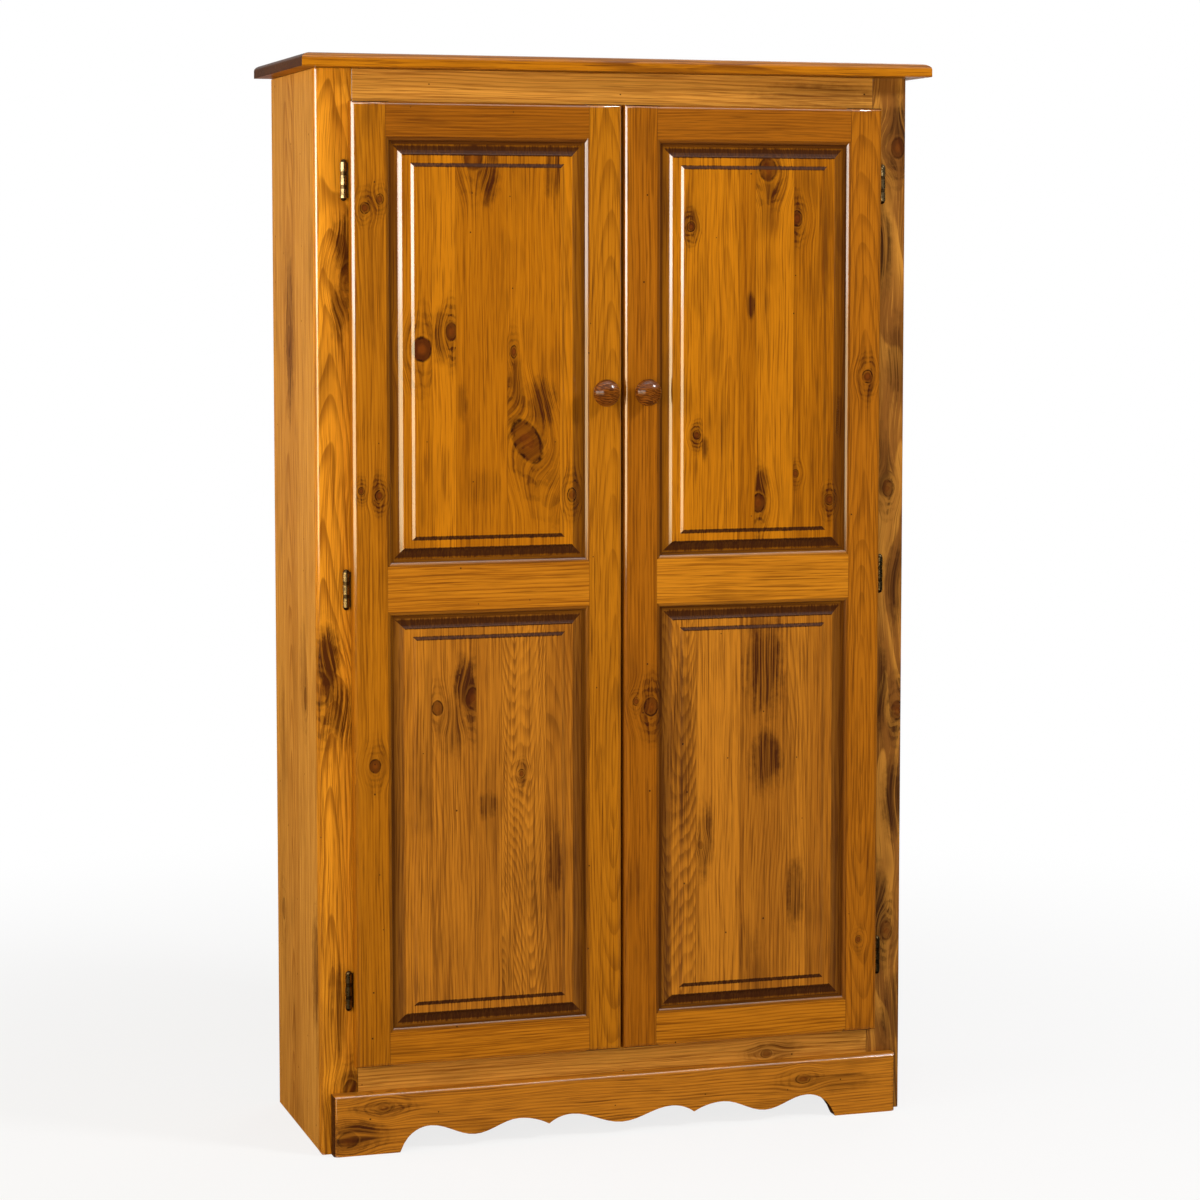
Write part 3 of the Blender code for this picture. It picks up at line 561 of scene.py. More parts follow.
    def _seam(self, sheet: ShaderSheet, colour: Value, place: Value, line: float, strength: float) -> Value:
        """Draw one fine dark joint line over a colour.

        Args:
            sheet: the material's nodes.
            colour: the colour so far.
            place: the coordinate that the line crosses.
            line: where the line lies.
            strength: how dark it is.

        Returns:
            The colour with the line.
        """
        off = place - line
        return sheet.mix((off * off).ramp(LINE_REACH, 0.0) * strength, colour, self.tone.stain)

    def _strips(self, sheet: ShaderSheet, across: Value, luck: random.Random) -> tuple[Number, list[Number]]:
        """Number each glued strip, and give it chances of its own.

        Args:
            sheet: the material's nodes.
            across: place across the grain.
            luck: the board's own random numbers.

        Returns:
            The strip's number and three numbers between nothing and one.
        """
        if not self.glue:
            return 0.0, [luck.random() for _ in range(3)]
        strip: Number = 0.0
        for edge in self.glue:
            strip = (across > edge) + strip
        key = strip * 3.71 + (self.seed * 0.613 + 0.5)
        tint = sheet.node("ShaderNodeTexWhiteNoise", {"noise_dimensions": "1D"}, {"W": key}, "Color")
        split = sheet.node("ShaderNodeSeparateColor", None, {0: tint})
        return strip, [split.other(name) for name in ("Red", "Green", "Blue")]

    def _bend(self, sheet: ShaderSheet, flat: Value, across: Value, along: Value, ragged: Value,
              offset: Triple) -> tuple[Value, list[KnotMask]]:
        """Lead the grain round the knots.

        Args:
            sheet: the material's nodes.
            flat: place across and along the grain.
            across: place across the grain.
            along: place along the grain.
            ragged: small noise about nothing.
            offset: the board's own place in the noise.

        Returns:
            The bent place across, and each knot's masks.
        """
        curl = sheet.noise(sheet.scaled(flat, CURL_SCALE, offset), 1.0) - 0.5
        patchy = sheet.noise(sheet.scaled(flat, PATCHY_SCALE, offset), 2.0)
        bent = across + curl * self.wild
        masks = []
        for knot in self.knots:
            rise = along - knot.along
            aside = (across - knot.across + rise * knot.lean) / knot.size
            ahead = rise / (knot.size * knot.stretch)
            rough = min(0.32, 0.0030 / knot.size)
            reach = (aside * aside + ahead * ahead).root() + (ragged + patchy - 0.5) * rough
            inside = self._same_strip(across, knot)
            bent = bent - aside * (reach.ramp(4.5, 0.4) * inside) * (knot.size * 0.82)
            plume = (aside * aside * 0.72 + ahead * ahead * 0.16).root() + ragged * 1.1
            arcs = (reach * 7.0 + ragged * 9.0).wave().ramp(-0.4, 0.8, 0.55, 1.0)
            edge = 0.90 if knot.size > self.loose else 0.45
            masks.append(KnotMask(
                core=reach.ramp(1.08, edge) * inside * knot.core,
                rim=reach.ramp(0.76, 0.96) * reach.ramp(1.16, 1.0) * inside * patchy.ramp(0.34, 0.60) * knot.rim,
                bark=reach.ramp(1.02, 1.14) * reach.ramp(1.42, 1.15) * inside * (0.30 * knot.rim),
                rings=(reach * 8.0).wave() * 0.20 + reach.ramp(0.9, 0.2) * 0.5 + (patchy - 0.5) * 0.8,
                halo=plume.ramp(2.3, 0.75) * inside * arcs * knot.halo))
        return bent, masks

    def _same_strip(self, across: Value, knot: Knot | Smudge) -> Number:
        """One inside the glued strip that holds a knot, else nothing."""
        lower = [edge for edge in self.glue if edge < knot.across]
        upper = [edge for edge in self.glue if edge >= knot.across]
        inside: Number = 1.0
        if lower:
            inside = (across > lower[-1]) * inside
        if upper:
            inside = (across < upper[0]) * inside
        return inside

    def _smudges(self, sheet: ShaderSheet, flat: Value, ragged: Value) -> list[Value]:
        """Soft patches where the stain went in deep; the one along the top of the frame's top rail is painted shadow.

        Args:
            sheet: the material's nodes.
            flat: place across and along the grain.
            ragged: small noise about nothing.

        Returns:
            Each patch's strength.
        """
        across = sheet.node("ShaderNodeSeparateXYZ", None, {0: flat})
        patches = []
        for smudge in self.smudges:
            scale = (1.0 / smudge.half_width, 1.0 / smudge.half_length, 0.0)
            middle = (-smudge.across * scale[0], -smudge.along * scale[1], 0.0)
            reach = sheet.length(sheet.scaled(flat, scale, middle)) + ragged * 0.9
            patches.append(reach.ramp(1.20, 0.40) * smudge.strength * self._same_strip(across, smudge))
        return patches

    def _rings(self, bent: Value, through: Value, along: Value, centre: list[float],
               chances: list[Number], drift: Value, streak: Value) -> Value:
        """Lines of late wood where the growth rings come to the surface.

        Args:
            bent: place across the grain, led round the knots.
            through: place through the board.
            along: place along the grain.
            centre: the board's middle across, through and along.
            chances: three numbers that place the pith.
            drift: slow wandering of the grain.
            streak: fine streaks along the grain.

        Returns:
            Strength of the late wood, from nothing to one.
        """
        sideways = bent - (centre[0] + (chances[0] - 0.5) * 0.20)
        lean = (chances[2] - 0.5) * 0.16
        deep = (through - centre[1]) + (chances[1] * 0.06 + 0.012) + (along - centre[2]) * lean + drift * 0.030
        radius = (sideways * sideways + deep * deep).root()
        turn = (radius / self.ring + drift * 1.3).fraction()
        return turn.ramp(0.40, 0.90) * turn.ramp(1.0, 0.93) * streak.ramp(0.24, 0.60, 0.35, 1.0)

    def _arches(self, wood: Wood) -> Value:
        """Nested arches of late wood, as on a plain-sawn strip.

        Args:
            wood: the board's coordinates and noises.

        Returns:
            One on the dark lines, else nothing.
        """
        aside = wood.bent - (self.bold[0] + self.bold[1]) / 2 + wood.drift * 0.10
        rise = wood.along - aside * aside * ARCH_STEEPNESS + wood.drift * 0.30 + (wood.streak - 0.5) * 0.03
        turn = (rise / ARCH_PITCH).fraction()
        return turn.ramp(0.15, 0.80) * turn.ramp(1.0, 0.86) * wood.streak.ramp(0.36, 0.58, 0.25, 1.0)

    def _dents(self, sheet: ShaderSheet, flat: Value, offset: Triple) -> Value:
        """Small dark dents, as of an old board.

        Args:
            sheet: the material's nodes.
            flat: place across and along the grain.
            offset: the board's own place in the pattern.

        Returns:
            One in a dent, else nothing.
        """
        spread = sheet.scaled(flat, DENT_SCALE, offset)
        cell = sheet.node("ShaderNodeTexVoronoi", {"voronoi_dimensions": "2D"}, {"Vector": spread, "Scale": 1.0})
        chance = sheet.node("ShaderNodeSeparateColor", None, {0: cell.other("Color")})
        size = chance.other("Green") * 0.010 + 0.012
        return (cell / size).ramp(1.35, 0.75) * (chance.other("Red") < self.dents)


@dataclass(frozen=True)
class KnobFinish:
    """Dark-stained turned wood with a gloss lacquer; the grain runs out from the door."""

    name: str
    seed: int
    pale: Colour = (0.25, 0.072, 0.006)
    body: Colour = (0.140, 0.036, 0.003)
    late_wood: Colour = (0.055, 0.014, 0.002)
    pores: Colour = (0.030, 0.008, 0.002)
    rings_per_metre: float = 300.0
    swirl_scale: Triple = (45.0, 30.0, 60.0)
    fibre_scale: Triple = (120.0, 60.0, 700.0)

    def material(self) -> bpy.types.Material:
        """Write the material's nodes."""
        sheet = ShaderSheet(self.name)
        place = sheet.node("ShaderNodeTexCoord", None, None, "Object")
        offset = tuple(random.Random(self.seed).uniform(0.0, 30.0) for _ in range(3))
        swirl = sheet.noise(sheet.scaled(place, self.swirl_scale, offset), 2.0)
        parts = sheet.node("ShaderNodeSeparateXYZ", None, {0: place})
        rise = parts.other("Z") + parts.other("X") * 0.25
        line = (rise * self.rings_per_metre + swirl * 5.0).fraction()
        late = line.ramp(0.25, 0.85) * line.ramp(1.0, 0.90)
        fibre = sheet.noise(sheet.scaled(place, self.fibre_scale, offset), 2.0)
        colour = sheet.mix(swirl.ramp(0.35, 0.68), self.pale, self.body)
        colour = sheet.mix(late * 0.70, colour, self.late_wood)
        colour = sheet.mix(fibre.ramp(0.50, 0.64) * 0.70, colour, self.pores)
        return sheet.finish({
            "Base Color": colour,
            "Roughness": 0.30 + fibre * 0.08,
            "Specular IOR Level": 0.02,
            "Coat Weight": 0.9,
            "Coat Roughness": 0.13,
            "Coat IOR": 1.38,
            "Normal": sheet.bump(fibre, 0.06, 0.0004),
        })


@dataclass(frozen=True)
class MetalFinish:
    """Plated metal with a patina that gathers in blotches."""

    name: str
    bright: Colour
    patina: Colour
    roughness: float
    tarnish_scale: Triple = (150.0, 150.0, 110.0)
    grit_scale: Triple = (1400.0, 1400.0, 500.0)

    def material(self) -> bpy.types.Material:
        """Write the material's nodes."""
        sheet = ShaderSheet(self.name)
        place = sheet.node("ShaderNodeTexCoord", None, None, "Object")
        tarnish = sheet.noise(sheet.scaled(place, self.tarnish_scale), 4.0, 0.65)
        grit = sheet.noise(sheet.scaled(place, self.grit_scale), 2.0)
        share = tarnish.ramp(0.42, 0.68)
        colour = sheet.mix(share * 0.85, self.bright, self.patina)
        return sheet.finish({
            "Base Color": colour,
            "Metallic": 1.0,
            "Roughness": self.roughness + share * 0.16 + (grit - 0.5) * 0.08,
            "Normal": sheet.bump(grit, 0.05, 0.0002),
        })


class Metals:
    """The metals on this cupboard."""

    BRASS = MetalFinish("antique_brass", (0.32, 0.235, 0.112), (0.075, 0.052, 0.025), 0.25)
    # Painted shade: a much darker brass for the door leaves and pins, standing for the shadow in the slots between the
    # knuckles
    SHADED_BRASS = MetalFinish("darkened_brass", (0.10, 0.066, 0.028), (0.022, 0.014, 0.008), 0.34)
    STEEL = MetalFinish("plated_steel", (0.52, 0.51, 0.49), (0.30, 0.28, 0.25), 0.30)
    NAIL = MetalFinish("dull_nail", (0.24, 0.23, 0.22), (0.12, 0.10, 0.09), 0.46)


@dataclass
class Casting:
    """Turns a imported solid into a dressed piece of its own."""

    node: str
    ease: float = 0.0
    shortest: float = 0.02
    sharp_degrees: float = 34.0
    outer_degrees: float = 60.0
    level_degrees: float = 0.6
    merge: float = 0.00002
    face_weight: int = 90

    def mesh(self) -> bpy.types.Mesh:
        """Copy the solid's mesh, merge it and ease its long outer edges.

        Returns:
            The new mesh.
        """
        shape = bmesh.new()
        shape.from_mesh(frame["nodes"][self.node].data)
        bmesh.ops.remove_doubles(shape, verts=shape.verts, dist=self.merge)
        bmesh.ops.dissolve_limit(shape, angle_limit=math.radians(self.level_degrees), verts=shape.verts,
                                 edges=shape.edges)
        if self.ease:
            edges = [edge for edge in shape.edges if self._outer(edge)]
            bmesh.ops.bevel(shape, geom=edges, offset=self.ease, segments=2, profile=0.5, affect="EDGES",
                            clamp_overlap=True)
        return self.finished(shape)

    def finished(self, shape: bmesh.types.BMesh) -> bpy.types.Mesh:
        """Shade a shape smooth between its sharp edges, and keep its large faces flat.

        Args:
            shape: the shape, which is used up.

        Returns:
            The finished mesh.
        """
        for face in shape.faces:
            face.smooth = True
        limit = math.radians(self.sharp_degrees)
        for edge in shape.edges:
            edge.smooth = not edge.is_manifold or edge.calc_face_angle(0.0) < limit
        return self._weighted(taken_mesh(shape, f"{self.node}_mesh"))

    def _outer(self, edge: bmesh.types.BMEdge) -> bool:
        """Whether an edge is a long, sharp outer edge."""
        if not edge.is_manifold or edge.calc_length() < self.shortest:
            return False
        return edge.calc_face_angle_signed(0.0) > math.radians(self.outer_degrees)

    def _weighted(self, mesh: bpy.types.Mesh) -> bpy.types.Mesh:
        """Keep large faces flat in their shading, and free the mesh from its modifier."""
        holder = bpy.data.objects.new("holder", mesh)
        bpy.context.scene.collection.objects.link(holder)
        modifier = holder.modifiers.new("weights", "WEIGHTED_NORMAL")
        modifier.keep_sharp = True
        modifier.weight = self.face_weight
        result = made_mesh(holder)
        bpy.data.objects.remove(holder)
        bpy.data.meshes.remove(mesh)
        return result


def taken_mesh(shape: bmesh.types.BMesh, name: str) -> bpy.types.Mesh:
    """Turn a shape, which is used up, into a mesh.

    Args:
        shape: the shape.
        name: the mesh's name.

    Returns:
        The mesh.
    """
    mesh = bpy.data.meshes.new(name)
    shape.to_mesh(mesh)
    shape.free()
    return mesh


def made_mesh(holder: bpy.types.Object) -> bpy.types.Mesh:
    """The mesh that an object's modifiers make of it, as a mesh of its own."""
    graph = bpy.context.evaluated_depsgraph_get()
    return bpy.data.meshes.new_from_object(holder.evaluated_get(graph), preserve_all_data_layers=True, depsgraph=graph)


@dataclass(frozen=True)
class Recess:
    """Where painted shade darkens a door's hollows: from one depth to another, inside the door's edges.

    The last fields are how dull it leaves a moulding, the least and the most painted shade, how far it reaches
    behind the depth where it is full, and how much of the least is left on mouldings turned to the left, where the
    light falls.
    """

    shallow: float
    deep: float
    left: float
    right: float
    bottom: float
    top: float
    dull: float
    least: float
    most: float
    behind: float = 0.0040
    lit_side_share: float = 0.3

    def holds(self, point: Vector) -> bool:
        """Whether a point lies inside the door's edges."""
        return self.left < point.x < self.right and self.bottom < point.z < self.top

    def share(self, depth: float) -> float:
        """How much painted shade lies at a depth, from nothing to the most."""
        if depth > self.deep + self.behind:
            return 0.0
        return min(1.0, max(0.0, (depth - self.shallow) / (self.deep - self.shallow))) * self.most


# How squarely a face looks along an axis to count as flat, how much of it is end grain to count as cut,
# how much polish a cut face keeps, and how far a face looks to the left, towards the light, to get less painted shade
FLAT_LIMIT = 0.995
CUT_SHARE = 0.6
CUT_POLISH = 0.12
LIT_SIDE_LIMIT = -0.2


def mark_wood(mesh: bpy.types.Mesh, grain: Grain, recess: Recess | None, end_limit: float) -> None:
    """Keep on the mesh where end grain, polished mouldings and the painted shade of the hollows are.

    Args:
        mesh: a board's mesh.
        grain: how its grain runs.
        recess: where painted shade darkens the hollows, if anywhere.
        end_limit: how squarely a face crosses the grain to count as end grain.
    """
    lengthwise = grain.numbers()[2]
    ends = mesh.attributes.get("end_grain") or mesh.attributes.new("end_grain", "FLOAT", "CORNER")
    polish = mesh.attributes.new("polish", "FLOAT", "FACE")
    for index, face in enumerate(mesh.polygons):
        tilt = [abs(part) for part in face.normal]
        if tilt[lengthwise] > end_limit:
            for corner in face.loop_indices:
                ends.data[corner].value = 1.0
        cut = sum(ends.data[corner].value for corner in face.loop_indices) > CUT_SHARE * face.loop_total
        dull = recess.dull if recess and recess.holds(face.center) else 0.0
        polish.data[index].value = 0.0 if max(tilt) > FLAT_LIMIT else (CUT_POLISH if cut else 1.0 - dull)
    # Painted shade: darker with depth in the hollows inside a door, and a little on every moulding there
    if recess:
        glaze = mesh.attributes.new("glaze", "FLOAT", "CORNER")
        for face in mesh.polygons:
            if not recess.holds(face.center):
                continue
            least = recess.least if max(abs(part) for part in face.normal) < FLAT_LIMIT else 0.0
            # Painted light: mouldings turned to the left, where the light falls, keep less of the painted shade
            least *= recess.lit_side_share if face.normal.x < LIT_SIDE_LIMIT else 1.0
            for corner in face.loop_indices:
                depth = mesh.vertices[mesh.loops[corner].vertex_index].co.y
                glaze.data[corner].value = max(least, recess.share(depth))


def add_piece(name: str, mesh: bpy.types.Mesh, material: bpy.types.Material, body: str,
              nodes: Iterable[str] = ()) -> bpy.types.Object:
    """Add one finished piece, hang it on its body and hide the solids that it stands for.

    Args:
        name: the piece's name.
        mesh: its mesh, in place.
        material: its finish.
        body: the body that it rides on.
        nodes: the solids that it stands for.

    Returns:
        The piece.
    """
    mesh.materials.clear()
    mesh.materials.append(material)
    piece = bpy.data.objects.new(name, mesh)
    bpy.context.scene.collection.objects.link(piece)
    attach(piece, body)
    if nodes:
        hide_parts(*nodes)
    LOG.info("%s: %d faces on %s", name, len(mesh.polygons), body)
    return piece


def dress_board(node: str, finish: PineFinish, ease: float = 0.0, recess: Recess | None = None,
                end_limit: float = 0.80, mesh: bpy.types.Mesh | None = None) -> bpy.types.Object:
    """Stand a finished board in for a solid.

    Args:
        node: the solid's name.
        finish: the board's finish.
        ease: how far its sharp outer edges are rounded.
        recess: where glaze gathers, if anywhere.
        end_limit: how squarely a face crosses the grain to count as end grain.
        mesh: the board's mesh, where it isn't the eased solid.

    Returns:
        The piece.
    """
    mesh = mesh or Casting(node, ease).mesh()
    mark_wood(mesh, finish.grain, recess, end_limit)
    body = frame["nodes"][node]["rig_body"]
    return add_piece(f"{node}_board", mesh, finish.material(*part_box(node)), body, [node])


@dataclass
class Carcass:
    """Sides, top, shelves, back and the pieces that hold the top."""

    ease: float = 0.0009
    side_glue: tuple[float, ...] = (-0.052, 0.018, 0.094)
    top_glue: tuple[float, ...] = (-0.072, 0.015, 0.098)
    shelf_glue: tuple[float, ...] = (-0.030, 0.061)
    side_seed: int = 31
    top_seed: int = 5
    inside_seed: int = 77
    shelf_seed: int = 40
    back_seed: int = 50
    rail_seed: int = 61
    cleat_seed: int = 63
    inside_knots: int = 3
    side_knots: dict[str, tuple[Knot, ...]] = field(default_factory=lambda: {
        "left": (Knot(0.062, 1.13, 0.010, 2.2, 0.3, 0.3, 0.5), Knot(-0.030, 0.63, 0.008, 2.0, 0.5, 0.4, 0.5),
                 Knot(0.130, 0.30, 0.010, 1.6, 0.4, 0.4, 0.4)),
        "right": (Knot(0.075, 1.22, 0.014, 1.5), Knot(-0.035, 0.74, 0.011, 1.4), Knot(0.055, 0.36, 0.016, 1.5)),
    })
    side_smudges: dict[str, tuple[Smudge, ...]] = field(default_factory=lambda: {
        "left": (Smudge(0.058, 1.14, 0.032, 0.13, 0.85), Smudge(-0.085, 0.25, 0.026, 0.10, 0.9),
                 Smudge(-0.020, 0.66, 0.024, 0.09, 0.5), Smudge(0.125, 0.55, 0.022, 0.10, 0.4),
                 Smudge(-0.095, 1.24, 0.020, 0.08, 0.4)),
        "right": (Smudge(0.060, 1.10, 0.030, 0.12, 0.7), Smudge(-0.080, 0.45, 0.026, 0.11, 0.7)),
    })

    def build(self) -> None:
        """Dress every board of the carcass."""
        for number, side in enumerate(HANDS):
            finish = PineFinish(f"{side}_side_pine", Grain.SIDE, Tones.TAN, self.side_seed + number,
                                self.side_glue, self.side_knots[side], self.side_smudges[side], figure=0.6,
                                wild=0.014, shine=0.004, dents=0.2)
            dress_board(f"{side}_side", finish, self.ease)
        top = PineFinish("top_board_pine", Grain.FLAT, Tones.HONEY, self.top_seed, self.top_glue,
                         (Knot(0.045, -0.18, 0.013, 1.5), Knot(-0.03, 0.27, 0.010, 1.4), Knot(0.125, 0.08, 0.012, 1.5)),
                         figure=0.7, polish=0.14)
        dress_board("top_board", top, end_limit=0.35)
        self.build_inside()

    def build_inside(self) -> None:
        """Dress the shelves, the back and the cleats, which are only thinly sealed."""
        luck = random.Random(self.inside_seed)
        for number, node in enumerate(SHELVES):
            knots = tuple(Knot(luck.uniform(-0.08, 0.14), luck.uniform(-0.38, 0.38), luck.uniform(0.007, 0.012))
                          for _ in range(self.inside_knots))
            self._bare(node, Grain.FLAT, self.shelf_seed + number, self.shelf_glue, knots)
        for number, node in enumerate(BACK_BOARDS, 1):
            low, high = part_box(node)
            knots = tuple(Knot(luck.uniform(low.x + 0.02, high.x - 0.02), luck.uniform(0.2, 1.4),
                               luck.uniform(0.006, 0.013)) for _ in range(self.inside_knots))
            self._bare(node, Grain.UPRIGHT, self.back_seed + number, (), knots)
        self._bare("rear_top_rail", Grain.LEVEL, self.rail_seed, (), (Knot(1.476, 0.2, 0.008),))
        for number, side in enumerate(HANDS):
            self._bare(f"{side}_top_cleat", Grain.SIDE, self.cleat_seed + number, (), ())

    def _bare(self, node: str, grain: Grain, seed: int, glue: tuple[float, ...], knots: tuple[Knot, ...]) -> None:
        """Dress one board of the inside."""
        finish = PineFinish(f"{node}_pine", grain, Tones.BARE, seed, glue, knots, figure=0.6, blotch=0.2,
                            gloss=0.50, shine=0.20, dents=0.08)
        dress_board(node, finish, self.ease)


@dataclass
class FaceFrame:
    """Stiles and rails round the opening, and the apron in front of them."""

    ease: float = 0.0006
    stile_inner: float = 0.382

    def build(self) -> None:
        """Dress the frame's boards."""
        self.build_stiles()
        ends = (-self.stile_inner, self.stile_inner)
        # Painted shadow: the smudge along the top of the rail's right half stands for the shade under the top board's
        # overhang
        top = PineFinish("frame_top_rail_pine", Grain.LEVEL, Tones.WHEAT, seed=13, joints=ends, wild=0.006,
                         blotch=0.4, smudges=(Smudge(1.478, 0.30, 0.02, 0.12, 0.5),))
        dress_board("face_frame_top_rail", top, self.ease)
        bottom = PineFinish("frame_bottom_rail_pine", Grain.LEVEL, Tones.WHEAT, seed=14,
                            knots=(Knot(0.0948, 0.2258, 0.006, 1.5, 0.5, 0.6),),
                            smudges=(Smudge(0.10, 0.24, 0.014, 0.05, 0.7),), joints=ends, wild=0.008, blotch=0.6)
        dress_board("face_frame_bottom_rail", bottom, self.ease)
        swirls = (Knot(0.0234, -0.4004, 0.011, 1.3, 0.3, 0.6, 0.7), Knot(0.066, -0.350, 0.007, 1.8, 0.3, 0.5, 0.6),
                  Knot(0.0584, 0.2754, 0.007, 1.6, 0.5, 0.6, 0.5))
        apron = PineFinish("apron_pine", Grain.LEVEL, Tones.HAZEL, seed=15, knots=swirls, wild=0.012,
                           blotch=0.5, smudges=(Smudge(0.03, -0.385, 0.022, 0.04, 0.8),
                                                Smudge(0.05, 0.33, 0.016, 0.06, 0.5)))
        dress_board("apron", apron)

    def build_stiles(self) -> None:
        """Dress the two stiles, whose grain swirls."""
        left = (Knot(-0.386, 1.222, 0.012, 1.6, 0.2, 0.3, 0.6), Knot(-0.432, 0.655, 0.014, 1.6, 0.2, 0.3, 0.7),
                Knot(-0.392, 0.090, 0.010, 1.3, 0.3, 0.6, 0.7))
        patches = (Smudge(-0.392, 1.265, 0.020, 0.055, 0.95), Smudge(-0.402, 1.170, 0.014, 0.05, 0.7),
                   Smudge(-0.420, 0.690, 0.018, 0.06, 0.9), Smudge(-0.400, 0.620, 0.022, 0.05, 0.7),
                   Smudge(-0.395, 0.095, 0.020, 0.03, 0.9), Smudge(-0.41, 0.20, 0.018, 0.08, 0.6))
        finish = PineFinish("frame_left_stile_pine", Grain.UPRIGHT, Tones.SUNNY, seed=11, knots=left,
                            smudges=patches, figure=0.6, wild=0.024)
        dress_board("face_frame_left_stile", finish, self.ease)
        right = (Knot(0.421, 1.405, 0.010, 1.5, 0.6, 0.6, 0.8), Knot(0.409, 0.915, 0.008, 1.5, 0.6, 0.6, 0.8),
                 Knot(0.427, 0.590, 0.009, 1.6, 0.6, 0.6, 0.8), Knot(0.412, 0.265, 0.009, 1.6, 0.6, 0.6, 0.8))
        patches = tuple(Smudge(0.41 + 0.012 * (-1) ** number, 1.42 - 0.16 * number, 0.02, 0.07, 0.8)
                        for number in range(9))
        finish = PineFinish("frame_right_stile_pine", Grain.UPRIGHT, Tones.UMBER, seed=12, knots=right,
                            smudges=patches, ring=0.0068, figure=1.0, wild=0.040, blotch=0.6)
        dress_board("face_frame_right_stile", finish, self.ease)


@dataclass
class RaisedPanel:
    """A panel raised by a cove, a band and a small slope round its field."""

    node: str
    border: float = 0.0085
    cove_run: float = 0.0140
    cove_rise: float = 0.0040
    cove_steps: int = 14
    band: float = 0.0120
    slope_run: float = 0.0040
    slope_rise: float = 0.0016
    soft: float = 0.0003
    bleed: float = 0.0022
    mitre_degrees: float = 14.0
    first_cut: float = 0.15
    cut_step: float = 0.30

    def profile(self) -> list[tuple[float, float, float]]:
        """Insets, heights over the border and shares of end grain, from the border inwards.

        Returns:
            The profile's points.
        """
        points = [(0.0, 0.0, 0.0), (self.border, 0.0, self.first_cut)]
        for step in range(1, self.cove_steps + 1):
            turn = math.pi / 2 * step / self.cove_steps
            rise = self.cove_rise * (1 - math.cos(turn))
            cut = min(1.0, self.first_cut + step * self.cut_step)
            points.append((self.border + self.cove_run * math.sin(turn), rise, cut))
        edge, start = self.border + self.cove_run, self.border + self.cove_run + self.band
        low, high = self.cove_rise, self.cove_rise + self.slope_rise
        lean, end = self.slope_rise / self.slope_run, start + self.slope_run
        points += [(edge + self.soft, low, 0.9), (edge + self.bleed, low, 0.0), (start - self.bleed, low, 0.0),
                   (start - self.soft, low, 0.6), (start + self.soft, low + self.soft * lean, 1.0),
                   (end - self.soft, high - self.soft * lean, 1.0), (end + self.soft, high, 0.8),
                   (end + self.bleed, high, 0.0)]
        return points

    def mesh(self) -> bpy.types.Mesh:
        """Loft the profile round the panel's box.

        Returns:
            The panel's mesh.
        """
        low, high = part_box(self.node)
        border = low.y + self.cove_rise + self.slope_rise
        rings = [(0.0, high.y, 0.0)] + [(inset, border - rise, cut) for inset, rise, cut in self.profile()]
        shape = bmesh.new()
        ends = shape.loops.layers.float.new("end_grain")
        loops = []
        for inset, depth, _ in rings:
            left, right, bottom, top = low.x + inset, high.x - inset, low.z + inset, high.z - inset
            corners = ((left, bottom), (right, bottom), (right, top), (left, top))
            loops.append([shape.verts.new((x, depth, z)) for x, z in corners])
        for row, (outer, inner) in enumerate(zip(loops, loops[1:])):
            for number in range(4):
                after = (number + 1) % 4
                face = shape.faces.new((outer[number], outer[after], inner[after], inner[number]))
                if number in (0, 2):
                    for corner in face.loops:
                        corner[ends] = rings[row + (corner.vert in inner)][2]
        shape.faces.new(loops[-1])
        shape.faces.new(reversed(loops[0]))
        bmesh.ops.recalc_face_normals(shape, faces=shape.faces)
        return Casting(self.node, sharp_degrees=self.mitre_degrees).finished(shape)


